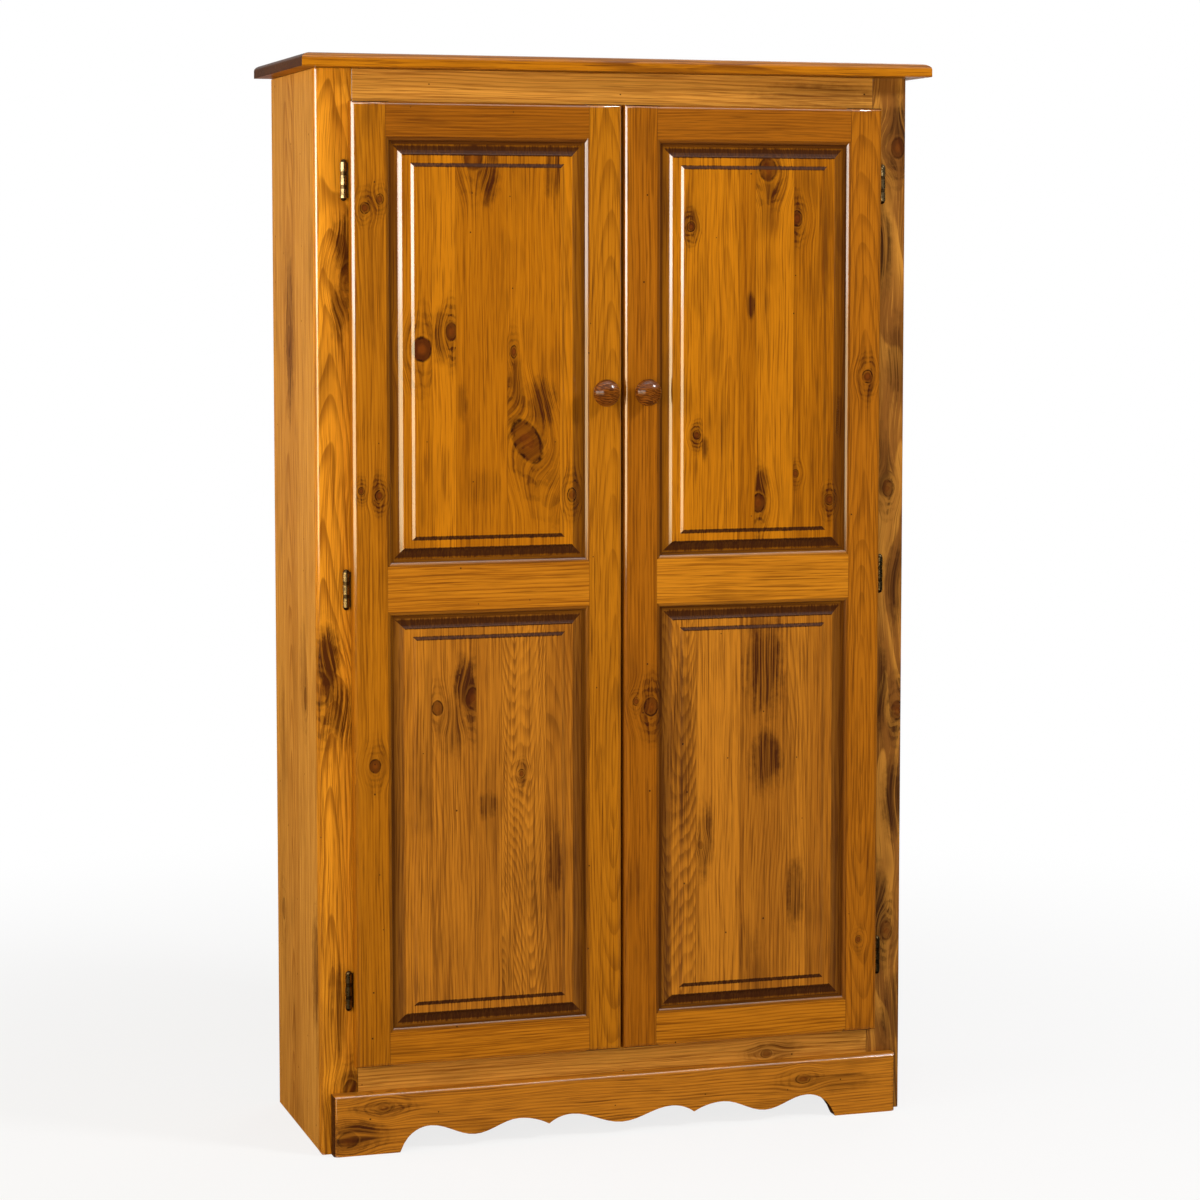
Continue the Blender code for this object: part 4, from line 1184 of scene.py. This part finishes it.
@dataclass
class TurnedKnob:
    """A wooden knob, turned afresh with a fine profile, and the screw that holds it.

    The profile runs from the base over the neck and the swell to the tip; heights count from the door.
    """

    side: str
    seed: int
    radius: float = 0.019
    base: tuple[tuple[float, float], ...] = ((0.0, 0.0), (0.0088, 0.0), (0.0095, 0.0006), (0.0093, 0.0016))
    neck_radius: float = 0.0078
    neck: float = 0.0075
    rim: float = 0.0195
    swell: float = 1.5
    steps: int = 12
    turns: int = 72
    merge: float = 0.000002

    def build(self) -> None:
        """Add the knob and its screw."""
        node, screw, body = f"{self.side}_knob", f"{self.side}_knob_screw", f"{self.side}_door"
        wood = KnobFinish(f"{node}_wood", self.seed).material()
        add_piece(f"{node}_turned", self.mesh(*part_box(node)), wood, body, [node])
        add_piece(f"{screw}_plated", Casting(screw).mesh(), Metals.STEEL.material(), body, [screw])

    def profile(self, tip: float) -> list[tuple[float, float]]:
        """Radii and heights from the base to the tip.

        Args:
            tip: the knob's whole height.

        Returns:
            The profile's points.
        """
        points = list(self.base)
        for step in range(self.steps + 1):
            turn = math.pi / 2 * step / self.steps
            radius = self.neck_radius + (self.radius - self.neck_radius) * math.sin(turn) ** self.swell
            points.append((radius, self.neck + (self.rim - self.neck) * (1 - math.cos(turn))))
        for step in range(1, self.steps + 1):
            turn = math.pi / 2 * step / self.steps
            points.append((self.radius * math.cos(turn), self.rim + (tip - self.rim) * math.sin(turn)))
        points[-1] = (0.0, tip)
        return points

    def mesh(self, low: Vector, high: Vector) -> bpy.types.Mesh:
        """A turned knob that fills the box of its solid.

        Args:
            low: lowest corner of the solid.
            high: highest corner of the solid.

        Returns:
            The knob's mesh.
        """
        shape = bmesh.new()
        verts = [shape.verts.new((radius, 0.0, height)) for radius, height in self.profile(high.y - low.y)]
        edges = [shape.edges.new(pair) for pair in zip(verts, verts[1:])]
        bmesh.ops.spin(shape, geom=verts + edges, axis=(0, 0, 1), cent=(0, 0, 0), angle=2 * math.pi,
                       steps=self.turns, use_merge=True)
        bmesh.ops.remove_doubles(shape, verts=shape.verts, dist=self.merge)
        bmesh.ops.recalc_face_normals(shape, faces=shape.faces)
        middle = (low + high) / 2
        place = Matrix.Translation((middle.x, high.y, middle.z)) @ Matrix.Rotation(math.pi / 2, 4, "X")
        shape.transform(place)
        for face in shape.faces:
            face.smooth = True
        return taken_mesh(shape, f"{self.side}_knob_mesh")


@dataclass
class Door:
    """One door: stiles, rails, raised panels and a knob.

    The seeds of rails, panels and knob count from the door's own. The dulling and shade of a hollow are how much gloss
    its mouldings lose, and the least and the most painted shade that it gets.
    """

    side: str
    stile_knots: dict[str, tuple[Knot, ...]]
    panel_glue: dict[str, tuple[float, ...]]
    panel_knots: dict[str, tuple[Knot, ...]]
    panel_smudges: dict[str, tuple[Smudge, ...]]
    seed: int
    bold: dict[str, tuple[float, float]]
    stile_tone: Tone
    lock_tone: Tone
    rail_seed: int = 3
    panel_seed: int = 7
    knob_seed: int = 10
    stile_face: float = 0.0476
    rim: float = 0.010
    # Painted shade in the hollows: the depths where it starts and is full, the gloss it takes, and how light and how
    # dark it lies
    sticking_depth: tuple[float, float] = (0.0000, 0.0026)
    sticking_dulling_and_shade: tuple[float, float, float] = (0.40, 0.50, 0.90)
    raising_depth: tuple[float, float] = (0.0018, 0.0056)
    raising_dulling_and_shade: tuple[float, float, float] = (0.0, 0.0, 0.72)

    def build(self) -> None:
        """Dress the door's boards and panels, and add its knob."""
        low, high = self.outline()
        sticking = self.recess(low.y, self.sticking_depth, low, high, self.sticking_dulling_and_shade)
        for number, part in enumerate(("hinge_stile", "meeting_stile")):
            finish = PineFinish(f"{self.side}_{part}_pine", Grain.UPRIGHT, self.stile_tone, self.seed + number, (),
                                self.stile_knots.get(part, ()), figure=0.35, wild=0.008)
            dress_board(f"{self.side}_door_{part}", finish, recess=sticking)
        tones = {"top": Tones.RUSSET, "lock": self.lock_tone, "bottom": Tones.AMBER}
        ends = (low.x + self.stile_face, high.x - self.stile_face)
        for number, (part, tone) in enumerate(tones.items()):
            finish = PineFinish(f"{self.side}_{part}_rail_pine", Grain.LEVEL, tone, self.seed + self.rail_seed + number,
                                joints=ends, wild=0.007)
            dress_board(f"{self.side}_door_{part}_rail", finish, recess=sticking)
        for number, (part, tone) in enumerate({"upper": Tones.HONEY, "lower": Tones.HAZEL}.items()):
            finish = PineFinish(f"{self.side}_{part}_panel_pine", Grain.UPRIGHT, tone,
                                self.seed + self.panel_seed + number, self.panel_glue[part], self.panel_knots[part],
                                self.panel_smudges[part], figure=0.36, blotch=0.6,
                                bold=self.bold.get(part, (0.0, 0.0)))
            node = f"{self.side}_door_{part}_panel"
            raising = self.recess(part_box(node)[0].y, self.raising_depth, low, high, self.raising_dulling_and_shade)
            dress_board(node, finish, recess=raising, mesh=RaisedPanel(node).mesh())
        TurnedKnob(self.side, self.seed + self.knob_seed).build()

    def outline(self) -> tuple[Vector, Vector]:
        """Corners of the box round the door's frame.

        Returns:
            The lowest and the highest corner.
        """
        boxes = [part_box(f"{self.side}_door_{part}") for part in ("hinge_stile", "meeting_stile")]
        low = Vector([min(box[0][axis] for box in boxes) for axis in range(3)])
        high = Vector([max(box[1][axis] for box in boxes) for axis in range(3)])
        return low, high

    def recess(self, face: float, depths: tuple[float, float], low: Vector, high: Vector,
               dulling_and_shade: tuple[float, float, float]) -> Recess:
        """Painted shade behind a face, away from the door's own edges.

        Args:
            face: the face's place, front to back.
            depths: depths at which the painted shade starts and is full.
            low: lowest corner of the door.
            high: highest corner of the door.
            dulling_and_shade: how much gloss the mouldings lose there, and the least and the most painted shade.

        Returns:
            The recess.
        """
        return Recess(face + depths[0], face + depths[1], low.x + self.rim, high.x - self.rim, low.z + self.rim,
                      high.z - self.rim, *dulling_and_shade)


class HeadKind(Enum):
    """How a fastener's head is made."""

    SLOTTED = "slotted"
    PLAIN = "plain"


@dataclass
class FastenerSet:
    """Screw or nail heads that repeat, made by one tree of Geometry Nodes."""

    name: str
    body: str
    slot: str
    finish: MetalFinish
    kind: HeadKind
    radius: float
    height: float
    places: list[tuple[Vector, Vector]]
    slot_width: float = 0.0009
    slot_depth: float = 0.0006
    sides: int = 24
    taper: float = 0.78

    def build(self) -> bpy.types.Object:
        """Make the heads and add them as one piece.

        Returns:
            The piece.
        """
        material = self.finish.material()
        host = bpy.data.meshes.new(f"{self.name}_points")
        host.from_pydata([place for place, _ in self.places], [], [])
        facing = host.attributes.new("facing", "FLOAT_VECTOR", "POINT")
        for index, (_, direction) in enumerate(self.places):
            facing.data[index].vector = direction
        holder = bpy.data.objects.new(f"{self.name}_holder", host)
        tree = self.tree()
        modifier = holder.modifiers.new("heads", "NODES")
        modifier.node_group = tree
        sizes = {"Radius": self.radius, "Height": self.height, "Slot Width": self.slot_width,
                 "Slot Depth": self.slot_depth, "Material": material}
        for item in tree.interface.items_tree:
            if item.name in sizes:
                modifier[item.identifier] = sizes[item.name]
        bpy.context.scene.collection.objects.link(holder)
        mesh = made_mesh(holder)
        mesh.name = f"{self.name}_mesh"
        bpy.data.objects.remove(holder)
        bpy.data.meshes.remove(host)
        bpy.data.node_groups.remove(tree)
        return add_piece(self.name, mesh, material, self.body)

    def tree(self) -> bpy.types.NodeTree:
        """Write the tree: one head on every point, turned to its facing.

        Returns:
            The node tree.
        """
        tree = bpy.data.node_groups.new(f"{self.name}_tree", "GeometryNodeTree")
        tree.interface.new_socket("Geometry", in_out="OUTPUT", socket_type="NodeSocketGeometry")
        tree.interface.new_socket("Geometry", in_out="INPUT", socket_type="NodeSocketGeometry")
        for size in ("Radius", "Height", "Slot Width", "Slot Depth"):
            tree.interface.new_socket(size, in_out="INPUT", socket_type="NodeSocketFloat")
        tree.interface.new_socket("Material", in_out="INPUT", socket_type="NodeSocketMaterial")
        sheet = Sheet(tree)
        given = sheet.node("NodeGroupInput")
        radius, height = given.other("Radius"), given.other("Height")
        head = sheet.node("GeometryNodeMeshCone", {"fill_type": "NGON"}, {
            "Vertices": self.sides, "Radius Top": radius * self.taper, "Radius Bottom": radius, "Depth": height})
        if self.kind is HeadKind.SLOTTED:
            # A bar longer than the head cuts the slot; half of the bar's depth stands clear of the head
            size = sheet.node("ShaderNodeCombineXYZ", None, {
                0: radius * 3.0, 1: given.other("Slot Width"), 2: given.other("Slot Depth") * 2.0})
            bar = sheet.node("GeometryNodeMeshCube", None, {"Size": size})
            lift = sheet.node("ShaderNodeCombineXYZ", None, {2: height})
            bar = sheet.node("GeometryNodeTransform", None, {"Geometry": bar, "Translation": lift})
            head = sheet.node("GeometryNodeMeshBoolean", {"operation": "DIFFERENCE"}, {"Mesh 1": head, "Mesh 2": bar})
        facing = sheet.node("GeometryNodeInputNamedAttribute", {"data_type": "FLOAT_VECTOR"}, {"Name": "facing"})
        turn = sheet.node("FunctionNodeAlignRotationToVector", {"axis": "Z"}, {"Vector": facing})
        heads = sheet.node("GeometryNodeInstanceOnPoints", None, {
            "Points": given, "Instance": head, "Rotation": turn})
        solid = sheet.node("GeometryNodeRealizeInstances", None, {"Geometry": heads})
        dressed = sheet.node("GeometryNodeSetMaterial", None, {"Geometry": solid, "Material": given.other("Material")})
        sheet.node("NodeGroupOutput", None, {"Geometry": dressed})
        return tree


@dataclass
class Hinges:
    """Three hinges of one door, with the screws in both leaves; a head is its radius and height."""

    side: str
    screw_rise: float = 0.0150
    frame_screw_x: float = 0.3805
    frame_screw_y: float = -0.1115
    door_screw_x: float = 0.3680
    door_screw_y: float = -0.12255
    head: tuple[float, float] = (0.0032, 0.0008)

    def build(self) -> None:
        """Dress leaves and pins, and set the screws."""
        # The door leaves and pins get the darker brass: painted shade in the slots between the knuckles
        brass = {"frame_leaf": Metals.BRASS.material(), "door_leaf": Metals.SHADED_BRASS.material()}
        hand = HANDS[self.side]
        frame_places, door_places = [], []
        for place in ("top", "middle", "bottom"):
            for part in ("frame_leaf", "door_leaf", "pin"):
                node = f"{self.side}_{place}_hinge_{part}"
                body = frame["nodes"][node]["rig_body"]
                finish = brass.get(part, brass["door_leaf"])
                add_piece(f"{node}_brass", Casting(node).mesh(), finish, body, [node])
            low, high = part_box(f"{self.side}_{place}_hinge_door_leaf")
            middle = (low.z + high.z) / 2
            for rise in (-self.screw_rise, self.screw_rise):
                at_frame = Vector((hand * self.frame_screw_x, self.frame_screw_y, middle + rise))
                at_door = Vector((hand * self.door_screw_x, self.door_screw_y, middle + rise))
                frame_places.append((at_frame, Vector((-hand, 0.0, 0.0))))
                door_places.append((at_door, Vector((0.0, 1.0, 0.0))))
        for name, body, places in (("frame", "carcass", frame_places), ("door", f"{self.side}_door", door_places)):
            FastenerSet(f"{self.side}_hinge_{name}_screws", body, "hinge_brass", Metals.BRASS, HeadKind.SLOTTED,
                        *self.head, places).build()


@dataclass
class Fixings:
    """Nails in the back and screws up through the cleats; a head is its radius and height."""

    back_y: float = 0.17435
    nail_spread: float = 0.042
    nail_head: tuple[float, float] = (0.0027, 0.0005)
    cleat_screws: int = 3
    screw_head: tuple[float, float] = (0.0040, 0.0010)

    def build(self) -> None:
        """Set the nails and the screws."""
        rows = [sum(corner.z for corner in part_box(node)) / 2 for node in (*SHELVES, "rear_top_rail")]
        nails = []
        for node in BACK_BOARDS:
            low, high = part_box(node)
            middle = (low.x + high.x) / 2
            nails += [(Vector((middle + shift, self.back_y, row)), Vector((0.0, 1.0, 0.0)))
                      for row in rows for shift in (-self.nail_spread, self.nail_spread)]
        FastenerSet("back_nails", "carcass", "screw_steel", Metals.NAIL, HeadKind.PLAIN, *self.nail_head,
                    nails).build()
        screws = []
        for side in HANDS:
            low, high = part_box(f"{side}_top_cleat")
            for number in range(self.cleat_screws):
                share = (number + 0.5) / self.cleat_screws
                spot = Vector(((low.x + high.x) / 2, low.y + (high.y - low.y) * share, low.z))
                screws.append((spot, Vector((0.0, 0.0, -1.0))))
        FastenerSet("cleat_screws", "carcass", "screw_steel", Metals.STEEL, HeadKind.SLOTTED, *self.screw_head,
                    screws).build()


@dataclass(frozen=True)
class SoftBox:
    """A rectangular area light: its name, place, the point it faces, size, power in watts, spread and tint."""

    name: str
    place: Triple
    target: Triple
    size: tuple[float, float]
    power: float
    spread_degrees: float = 180.0
    tint: Colour = (1.0, 1.0, 1.0)

    def build(self) -> None:
        """Hang the light."""
        lamp = bpy.data.lights.new(self.name, "AREA")
        lamp.shape = "RECTANGLE"
        lamp.size, lamp.size_y = self.size
        lamp.energy = self.power
        lamp.spread = math.radians(self.spread_degrees)
        lamp.color = self.tint
        light = bpy.data.objects.new(self.name, lamp)
        light.location = self.place
        light.rotation_euler = (Vector(self.target) - Vector(self.place)).to_track_quat("-Z", "Y").to_euler()
        light.visible_camera = False
        bpy.context.scene.collection.objects.link(light)


@dataclass
class Studio:
    """Floor, white surround, soft lights and the camera.

    A row of the wall of soft boxes is its height, its share of the power and its tint.
    """

    camera_place: Triple = (-1.3650, -4.4215, 1.2431)
    camera_turn: float = -17.277
    camera_tilt: float = 4.761
    sensor: float = 36.0
    lens: float = 96.14
    shift: float = -0.06
    ambient: float = 0.10
    wall_start: float = 12.0
    wall_stride: float = 36.0
    wall_reach: float = 3.0
    wall_rows: tuple[tuple[float, float, Colour], ...] = ((1.43, 1.0, (1.0, 0.96, 0.88)),
                                                          (0.87, 0.70, (1.0, 0.80, 0.46)))
    wall_size: tuple[float, float] = (1.98, 0.56)
    wall_power: tuple[float, ...] = (7.2, 7.9, 6.0)
    wall_spread: float = 92.0
    card_turns: tuple[float, ...] = (-144.0, -106.0, -68.0, -30.0, 8.0, 46.0, 84.0, 122.0)
    card_reach: float = 3.3
    card_size: tuple[float, float] = (2.3, 2.3)
    felt: Colour = (0.02, 0.016, 0.012)
    carpet_lift: float = 0.002
    carpet_size: float = 16.0
    floor_size: float = 28.0
    floor_paint: Colour = (0.82, 0.82, 0.82)
    floor_fade: tuple[float, float] = (0.7, 2.4)
    floor_white: float = 0.80
    boxes: tuple[SoftBox, ...] = (
        SoftBox("right_soft_box", (2.3, -2.2, 2.9), (0.0, -0.1, 1.1), (0.7, 0.55), 80.0),
        SoftBox("strip_soft_box", (0.4, -1.9, 4.2), (0.0, -0.15, 0.9), (3.0, 0.35), 16.0),
        SoftBox("top_soft_box", (0.2, -0.3, 4.6), (0.0, 0.0, 0.0), (3.6, 3.6), 30.0),
        SoftBox("rear_soft_box", (2.6, 3.4, 2.0), (0.0, 0.0, 0.8), (2.4, 1.8), 50.0),
    )

    def build(self) -> None:
        """Set up everything round the cupboard."""
        self.build_world()
        self.build_floor()
        self.build_lights()
        self.build_camera()

    def build_world(self) -> None:
        """White where it is seen or mirrored, and a dim grey light elsewhere."""
        world = bpy.data.worlds.new("surround")
        world.use_nodes = True
        bpy.context.scene.world = world
        sheet = Sheet(world.node_tree)
        seen = self._seen(sheet)
        strength = seen * (1.0 - self.ambient) + self.ambient
        light = sheet.node("ShaderNodeBackground", None, {"Color": (1.0, 1.0, 1.0, 1.0), "Strength": strength})
        sheet.node("ShaderNodeOutputWorld", None, {"Surface": light})

    def _seen(self, sheet: Sheet) -> Value:
        """One for rays from the camera, a mirror or a glass, else nothing."""
        path = sheet.node("ShaderNodeLightPath", None, None, "Is Camera Ray")
        return path.larger(path.other("Is Glossy Ray")).larger(path.other("Is Transmission Ray"))

    def build_floor(self) -> None:
        """A pale floor that fades into the white and keeps the shadow."""
        sheet = ShaderSheet("floor_paint")
        paint = sheet.node("ShaderNodeBsdfDiffuse", None, {"Color": (*self.floor_paint, 1.0)})
        white = sheet.node("ShaderNodeEmission", None, {"Color": (1.0, 1.0, 1.0, 1.0), "Strength": 1.0})
        place = sheet.node("ShaderNodeTexCoord", None, None, "Object")
        share = self._seen(sheet) * sheet.length(place).ramp(*self.floor_fade, self.floor_white, 1.0)
        both = sheet.node("ShaderNodeMixShader", None, {0: share, 1: paint, 2: white})
        sheet.node("ShaderNodeOutputMaterial", None, {"Surface": both})
        self._square("floor", Matrix.Scale(self.floor_size, 4), sheet.material)

    def build_lights(self) -> None:
        """A wall of soft boxes round the left, dark cards round the set, and weaker boxes elsewhere."""
        for number, power in enumerate(self.wall_power):
            turn = math.radians(self.wall_start + self.wall_stride * (number + 0.5))
            for row, (height, share, tint) in enumerate(self.wall_rows):
                place = (-self.wall_reach * math.sin(turn), -self.wall_reach * math.cos(turn), height)
                SoftBox(f"wall_soft_box_{row + 1}_{number + 1}", place, (0.0, 0.0, height), self.wall_size,
                        power * share, self.wall_spread, tint).build()
        width, height = self.card_size
        for number, degrees in enumerate(self.card_turns):
            turn = math.radians(degrees)
            spot = Matrix.Translation((self.card_reach * math.sin(turn), -self.card_reach * math.cos(turn), height / 2))
            stand = Matrix.Rotation(turn, 4, "Z") @ Matrix.Rotation(math.pi / 2, 4, "X")
            self._dark_card(f"dark_card_{number + 1}", spot @ stand @ Matrix.Diagonal((width, height, 1.0, 1.0)))
        lying = Matrix.Translation((0.0, 0.0, self.carpet_lift)) @ Matrix.Scale(self.carpet_size, 4)
        self._dark_card("dark_carpet", lying)
        for box in self.boxes:
            box.build()

    def _dark_card(self, name: str, place: Matrix) -> None:
        """Place a dark card, which only gloss mirrors; the place holds its size too."""
        sheet = ShaderSheet(f"{name}_felt")
        felt = sheet.node("ShaderNodeBsdfDiffuse", None, {"Color": (*self.felt, 1.0)})
        sheet.node("ShaderNodeOutputMaterial", None, {"Surface": felt})
        card = self._square(name, place, sheet.material)
        card.visible_camera = False
        card.visible_diffuse = False
        card.visible_shadow = False

    def _square(self, name: str, place: Matrix, material: bpy.types.Material) -> bpy.types.Object:
        """Add a flat square to the stage.

        Args:
            name: the square's name.
            place: where a square of one metre goes, with the size that it gets.
            material: its paint.

        Returns:
            The square.
        """
        shape = bmesh.new()
        bmesh.ops.create_grid(shape, x_segments=1, y_segments=1, size=0.5)
        shape.transform(place)
        mesh = taken_mesh(shape, name)
        mesh.materials.append(material)
        square = bpy.data.objects.new(name, mesh)
        bpy.context.scene.collection.objects.link(square)
        return square

    def build_camera(self) -> None:
        """The camera at the photograph's angle."""
        lens = bpy.data.cameras.new("camera")
        lens.sensor_width = self.sensor
        lens.lens = self.lens
        lens.shift_y = self.shift
        camera = bpy.data.objects.new("camera", lens)
        camera.location = self.camera_place
        camera.rotation_euler = (math.radians(90.0 - self.camera_tilt), 0.0, math.radians(self.camera_turn))
        bpy.context.scene.collection.objects.link(camera)
        bpy.context.scene.camera = camera
        bpy.context.scene.view_settings.view_transform = "Standard"


def left_door() -> Door:
    """The left door with the glue joints, knots and stains of its boards.

    Returns:
        The door.
    """
    stiles = {"hinge_stile": (Knot(-0.3694, 1.3151, 0.0066, 1.2, 0.9, 0.9, 0.8), Knot(-0.3483, 1.3274, 0.0055),
                              Knot(-0.3514, 0.922, 0.0062, 1.2, 0.9, 0.9, 0.8), Knot(-0.3594, 0.5478, 0.0080, 1.2),
                              Knot(-0.3770, 0.929, 0.0045, 1.2, 0.9, 0.8, 0.8))}
    glue = {"upper": (-0.276, -0.2418, -0.1684, -0.0925), "lower": (-0.2785, -0.2141, -0.178, -0.1127)}
    knots = {
        "upper": (Knot(-0.2900, 1.1223, 0.0135, 1.25, 0.95, 0.9, 0.6), Knot(-0.2480, 1.146, 0.008, 1.5, 0.8, 0.7, 0.9),
                  Knot(-0.1400, 0.9936, 0.0195, 1.50, 0.60, 0.9, 0.7, 0.35),
                  Knot(-0.1590, 1.118, 0.0045, 2.0, 0.9, 0.8, 0.7), Knot(-0.2160, 1.385, 0.0130, 1.3, 0.6, 0.6, 0.5),
                  Knot(-0.0743, 0.9174, 0.0070, 1.4, 0.7, 0.9, 0.7)),
        "lower": (Knot(-0.2700, 0.6246, 0.008, 1.3, 0.7, 0.8, 0.5), Knot(-0.2190, 0.636, 0.010, 1.5, 0.5, 0.5, 0.7),
                  Knot(-0.1491, 0.5273, 0.005, 1.3, 0.8, 0.8, 0.6)),
    }
    smudges = {
        "upper": (Smudge(-0.197, 1.365, 0.020, 0.050, 0.85), Smudge(-0.118, 1.045, 0.022, 0.045, 0.85),
                  Smudge(-0.155, 1.075, 0.012, 0.05, 0.7), Smudge(-0.262, 1.140, 0.018, 0.04, 0.8),
                  Smudge(-0.235, 1.05, 0.010, 0.03, 0.5), Smudge(-0.100, 1.37, 0.016, 0.05, 0.8),
                  Smudge(-0.20, 0.93, 0.03, 0.03, 0.25)),
        "lower": (Smudge(-0.230, 0.655, 0.020, 0.045, 0.9), Smudge(-0.197, 0.485, 0.016, 0.025, 0.8),
                  Smudge(-0.250, 0.60, 0.026, 0.05, 0.6), Smudge(-0.13, 0.36, 0.02, 0.06, 0.4),
                  Smudge(-0.100, 0.40, 0.012, 0.07, 0.8)),
    }
    return Door("left", stiles, glue, knots, smudges, seed=100, bold={"lower": (-0.178, -0.1127)},
                stile_tone=Tones.TOFFEE, lock_tone=Tones.CARAMEL)


def right_door() -> Door:
    """The right door with the glue joints, knots and stains of its boards.

    Returns:
        The door.
    """
    stiles = {"hinge_stile": (Knot(0.3676, 1.0784, 0.0078, 1.2, 0.9, 0.9, 0.9), Knot(0.3594, 0.2595, 0.005, 1.2)),
              "meeting_stile": (Knot(0.0416, 0.6139, 0.0105, 1.2, 0.6, 0.9, 0.9), Knot(0.0193, 0.6222, 0.005, 1.2))}
    glue = {"upper": (0.1178, 0.1722, 0.1965, 0.2545, 0.293), "lower": (0.1097, 0.1762, 0.248, 0.2787)}
    knots = {
        "upper": (Knot(0.2590, 1.3032, 0.0078, 1.4, 0.9, 0.9, 0.9), Knot(0.1000, 1.2910, 0.0060, 1.2, 0.9, 0.9, 0.9),
                  Knot(0.1090, 0.998, 0.0055, 1.1, 0.9, 0.8, 0.9), Knot(0.2020, 0.9000, 0.0095, 1.4, 0.8, 0.9, 0.9),
                  Knot(0.3113, 0.9020, 0.0065, 1.2, 0.9, 0.9, 0.9), Knot(0.2149, 1.372, 0.0130, 1.2, 0.65, 0.8, 0.8),
                  Knot(0.2585, 0.9407, 0.0050, 1.2, 0.8, 0.8, 0.6)),
        "lower": (Knot(0.1171, 0.4117, 0.004, 1.6, 0.4, 0.4, 0.6),),
    }
    smudges = {
        "upper": (Smudge(0.189, 1.180, 0.008, 0.022, 0.9), Smudge(0.215, 1.348, 0.014, 0.03, 0.8),
                  Smudge(0.206, 0.925, 0.016, 0.030, 0.9), Smudge(0.327, 1.015, 0.008, 0.04, 0.7),
                  Smudge(0.105, 1.295, 0.012, 0.03, 0.8), Smudge(0.120, 0.980, 0.008, 0.02, 0.8),
                  Smudge(0.326, 1.276, 0.008, 0.04, 0.5)),
        "lower": (Smudge(0.212, 0.665, 0.036, 0.085, 0.85), Smudge(0.216, 0.53, 0.030, 0.05, 0.85),
                  Smudge(0.085, 0.56, 0.022, 0.16, 0.55), Smudge(0.122, 0.415, 0.016, 0.06, 0.8),
                  Smudge(0.262, 0.33, 0.016, 0.06, 0.8), Smudge(0.18, 0.26, 0.03, 0.05, 0.4)),
    }
    return Door("right", stiles, glue, knots, smudges, seed=120, bold={"lower": (0.06, 0.1097)},
                stile_tone=Tones.CINNAMON, lock_tone=Tones.CARAMEL)


def main() -> None:
    """Build the looks piece by piece."""
    logging.basicConfig(level=logging.INFO, format="%(message)s")
    Studio().build()
    Carcass().build()
    FaceFrame().build()
    for door in (left_door(), right_door()):
        door.build()
        Hinges(door.side).build()
    Fixings().build()


if __name__ == "__main__":
    main()
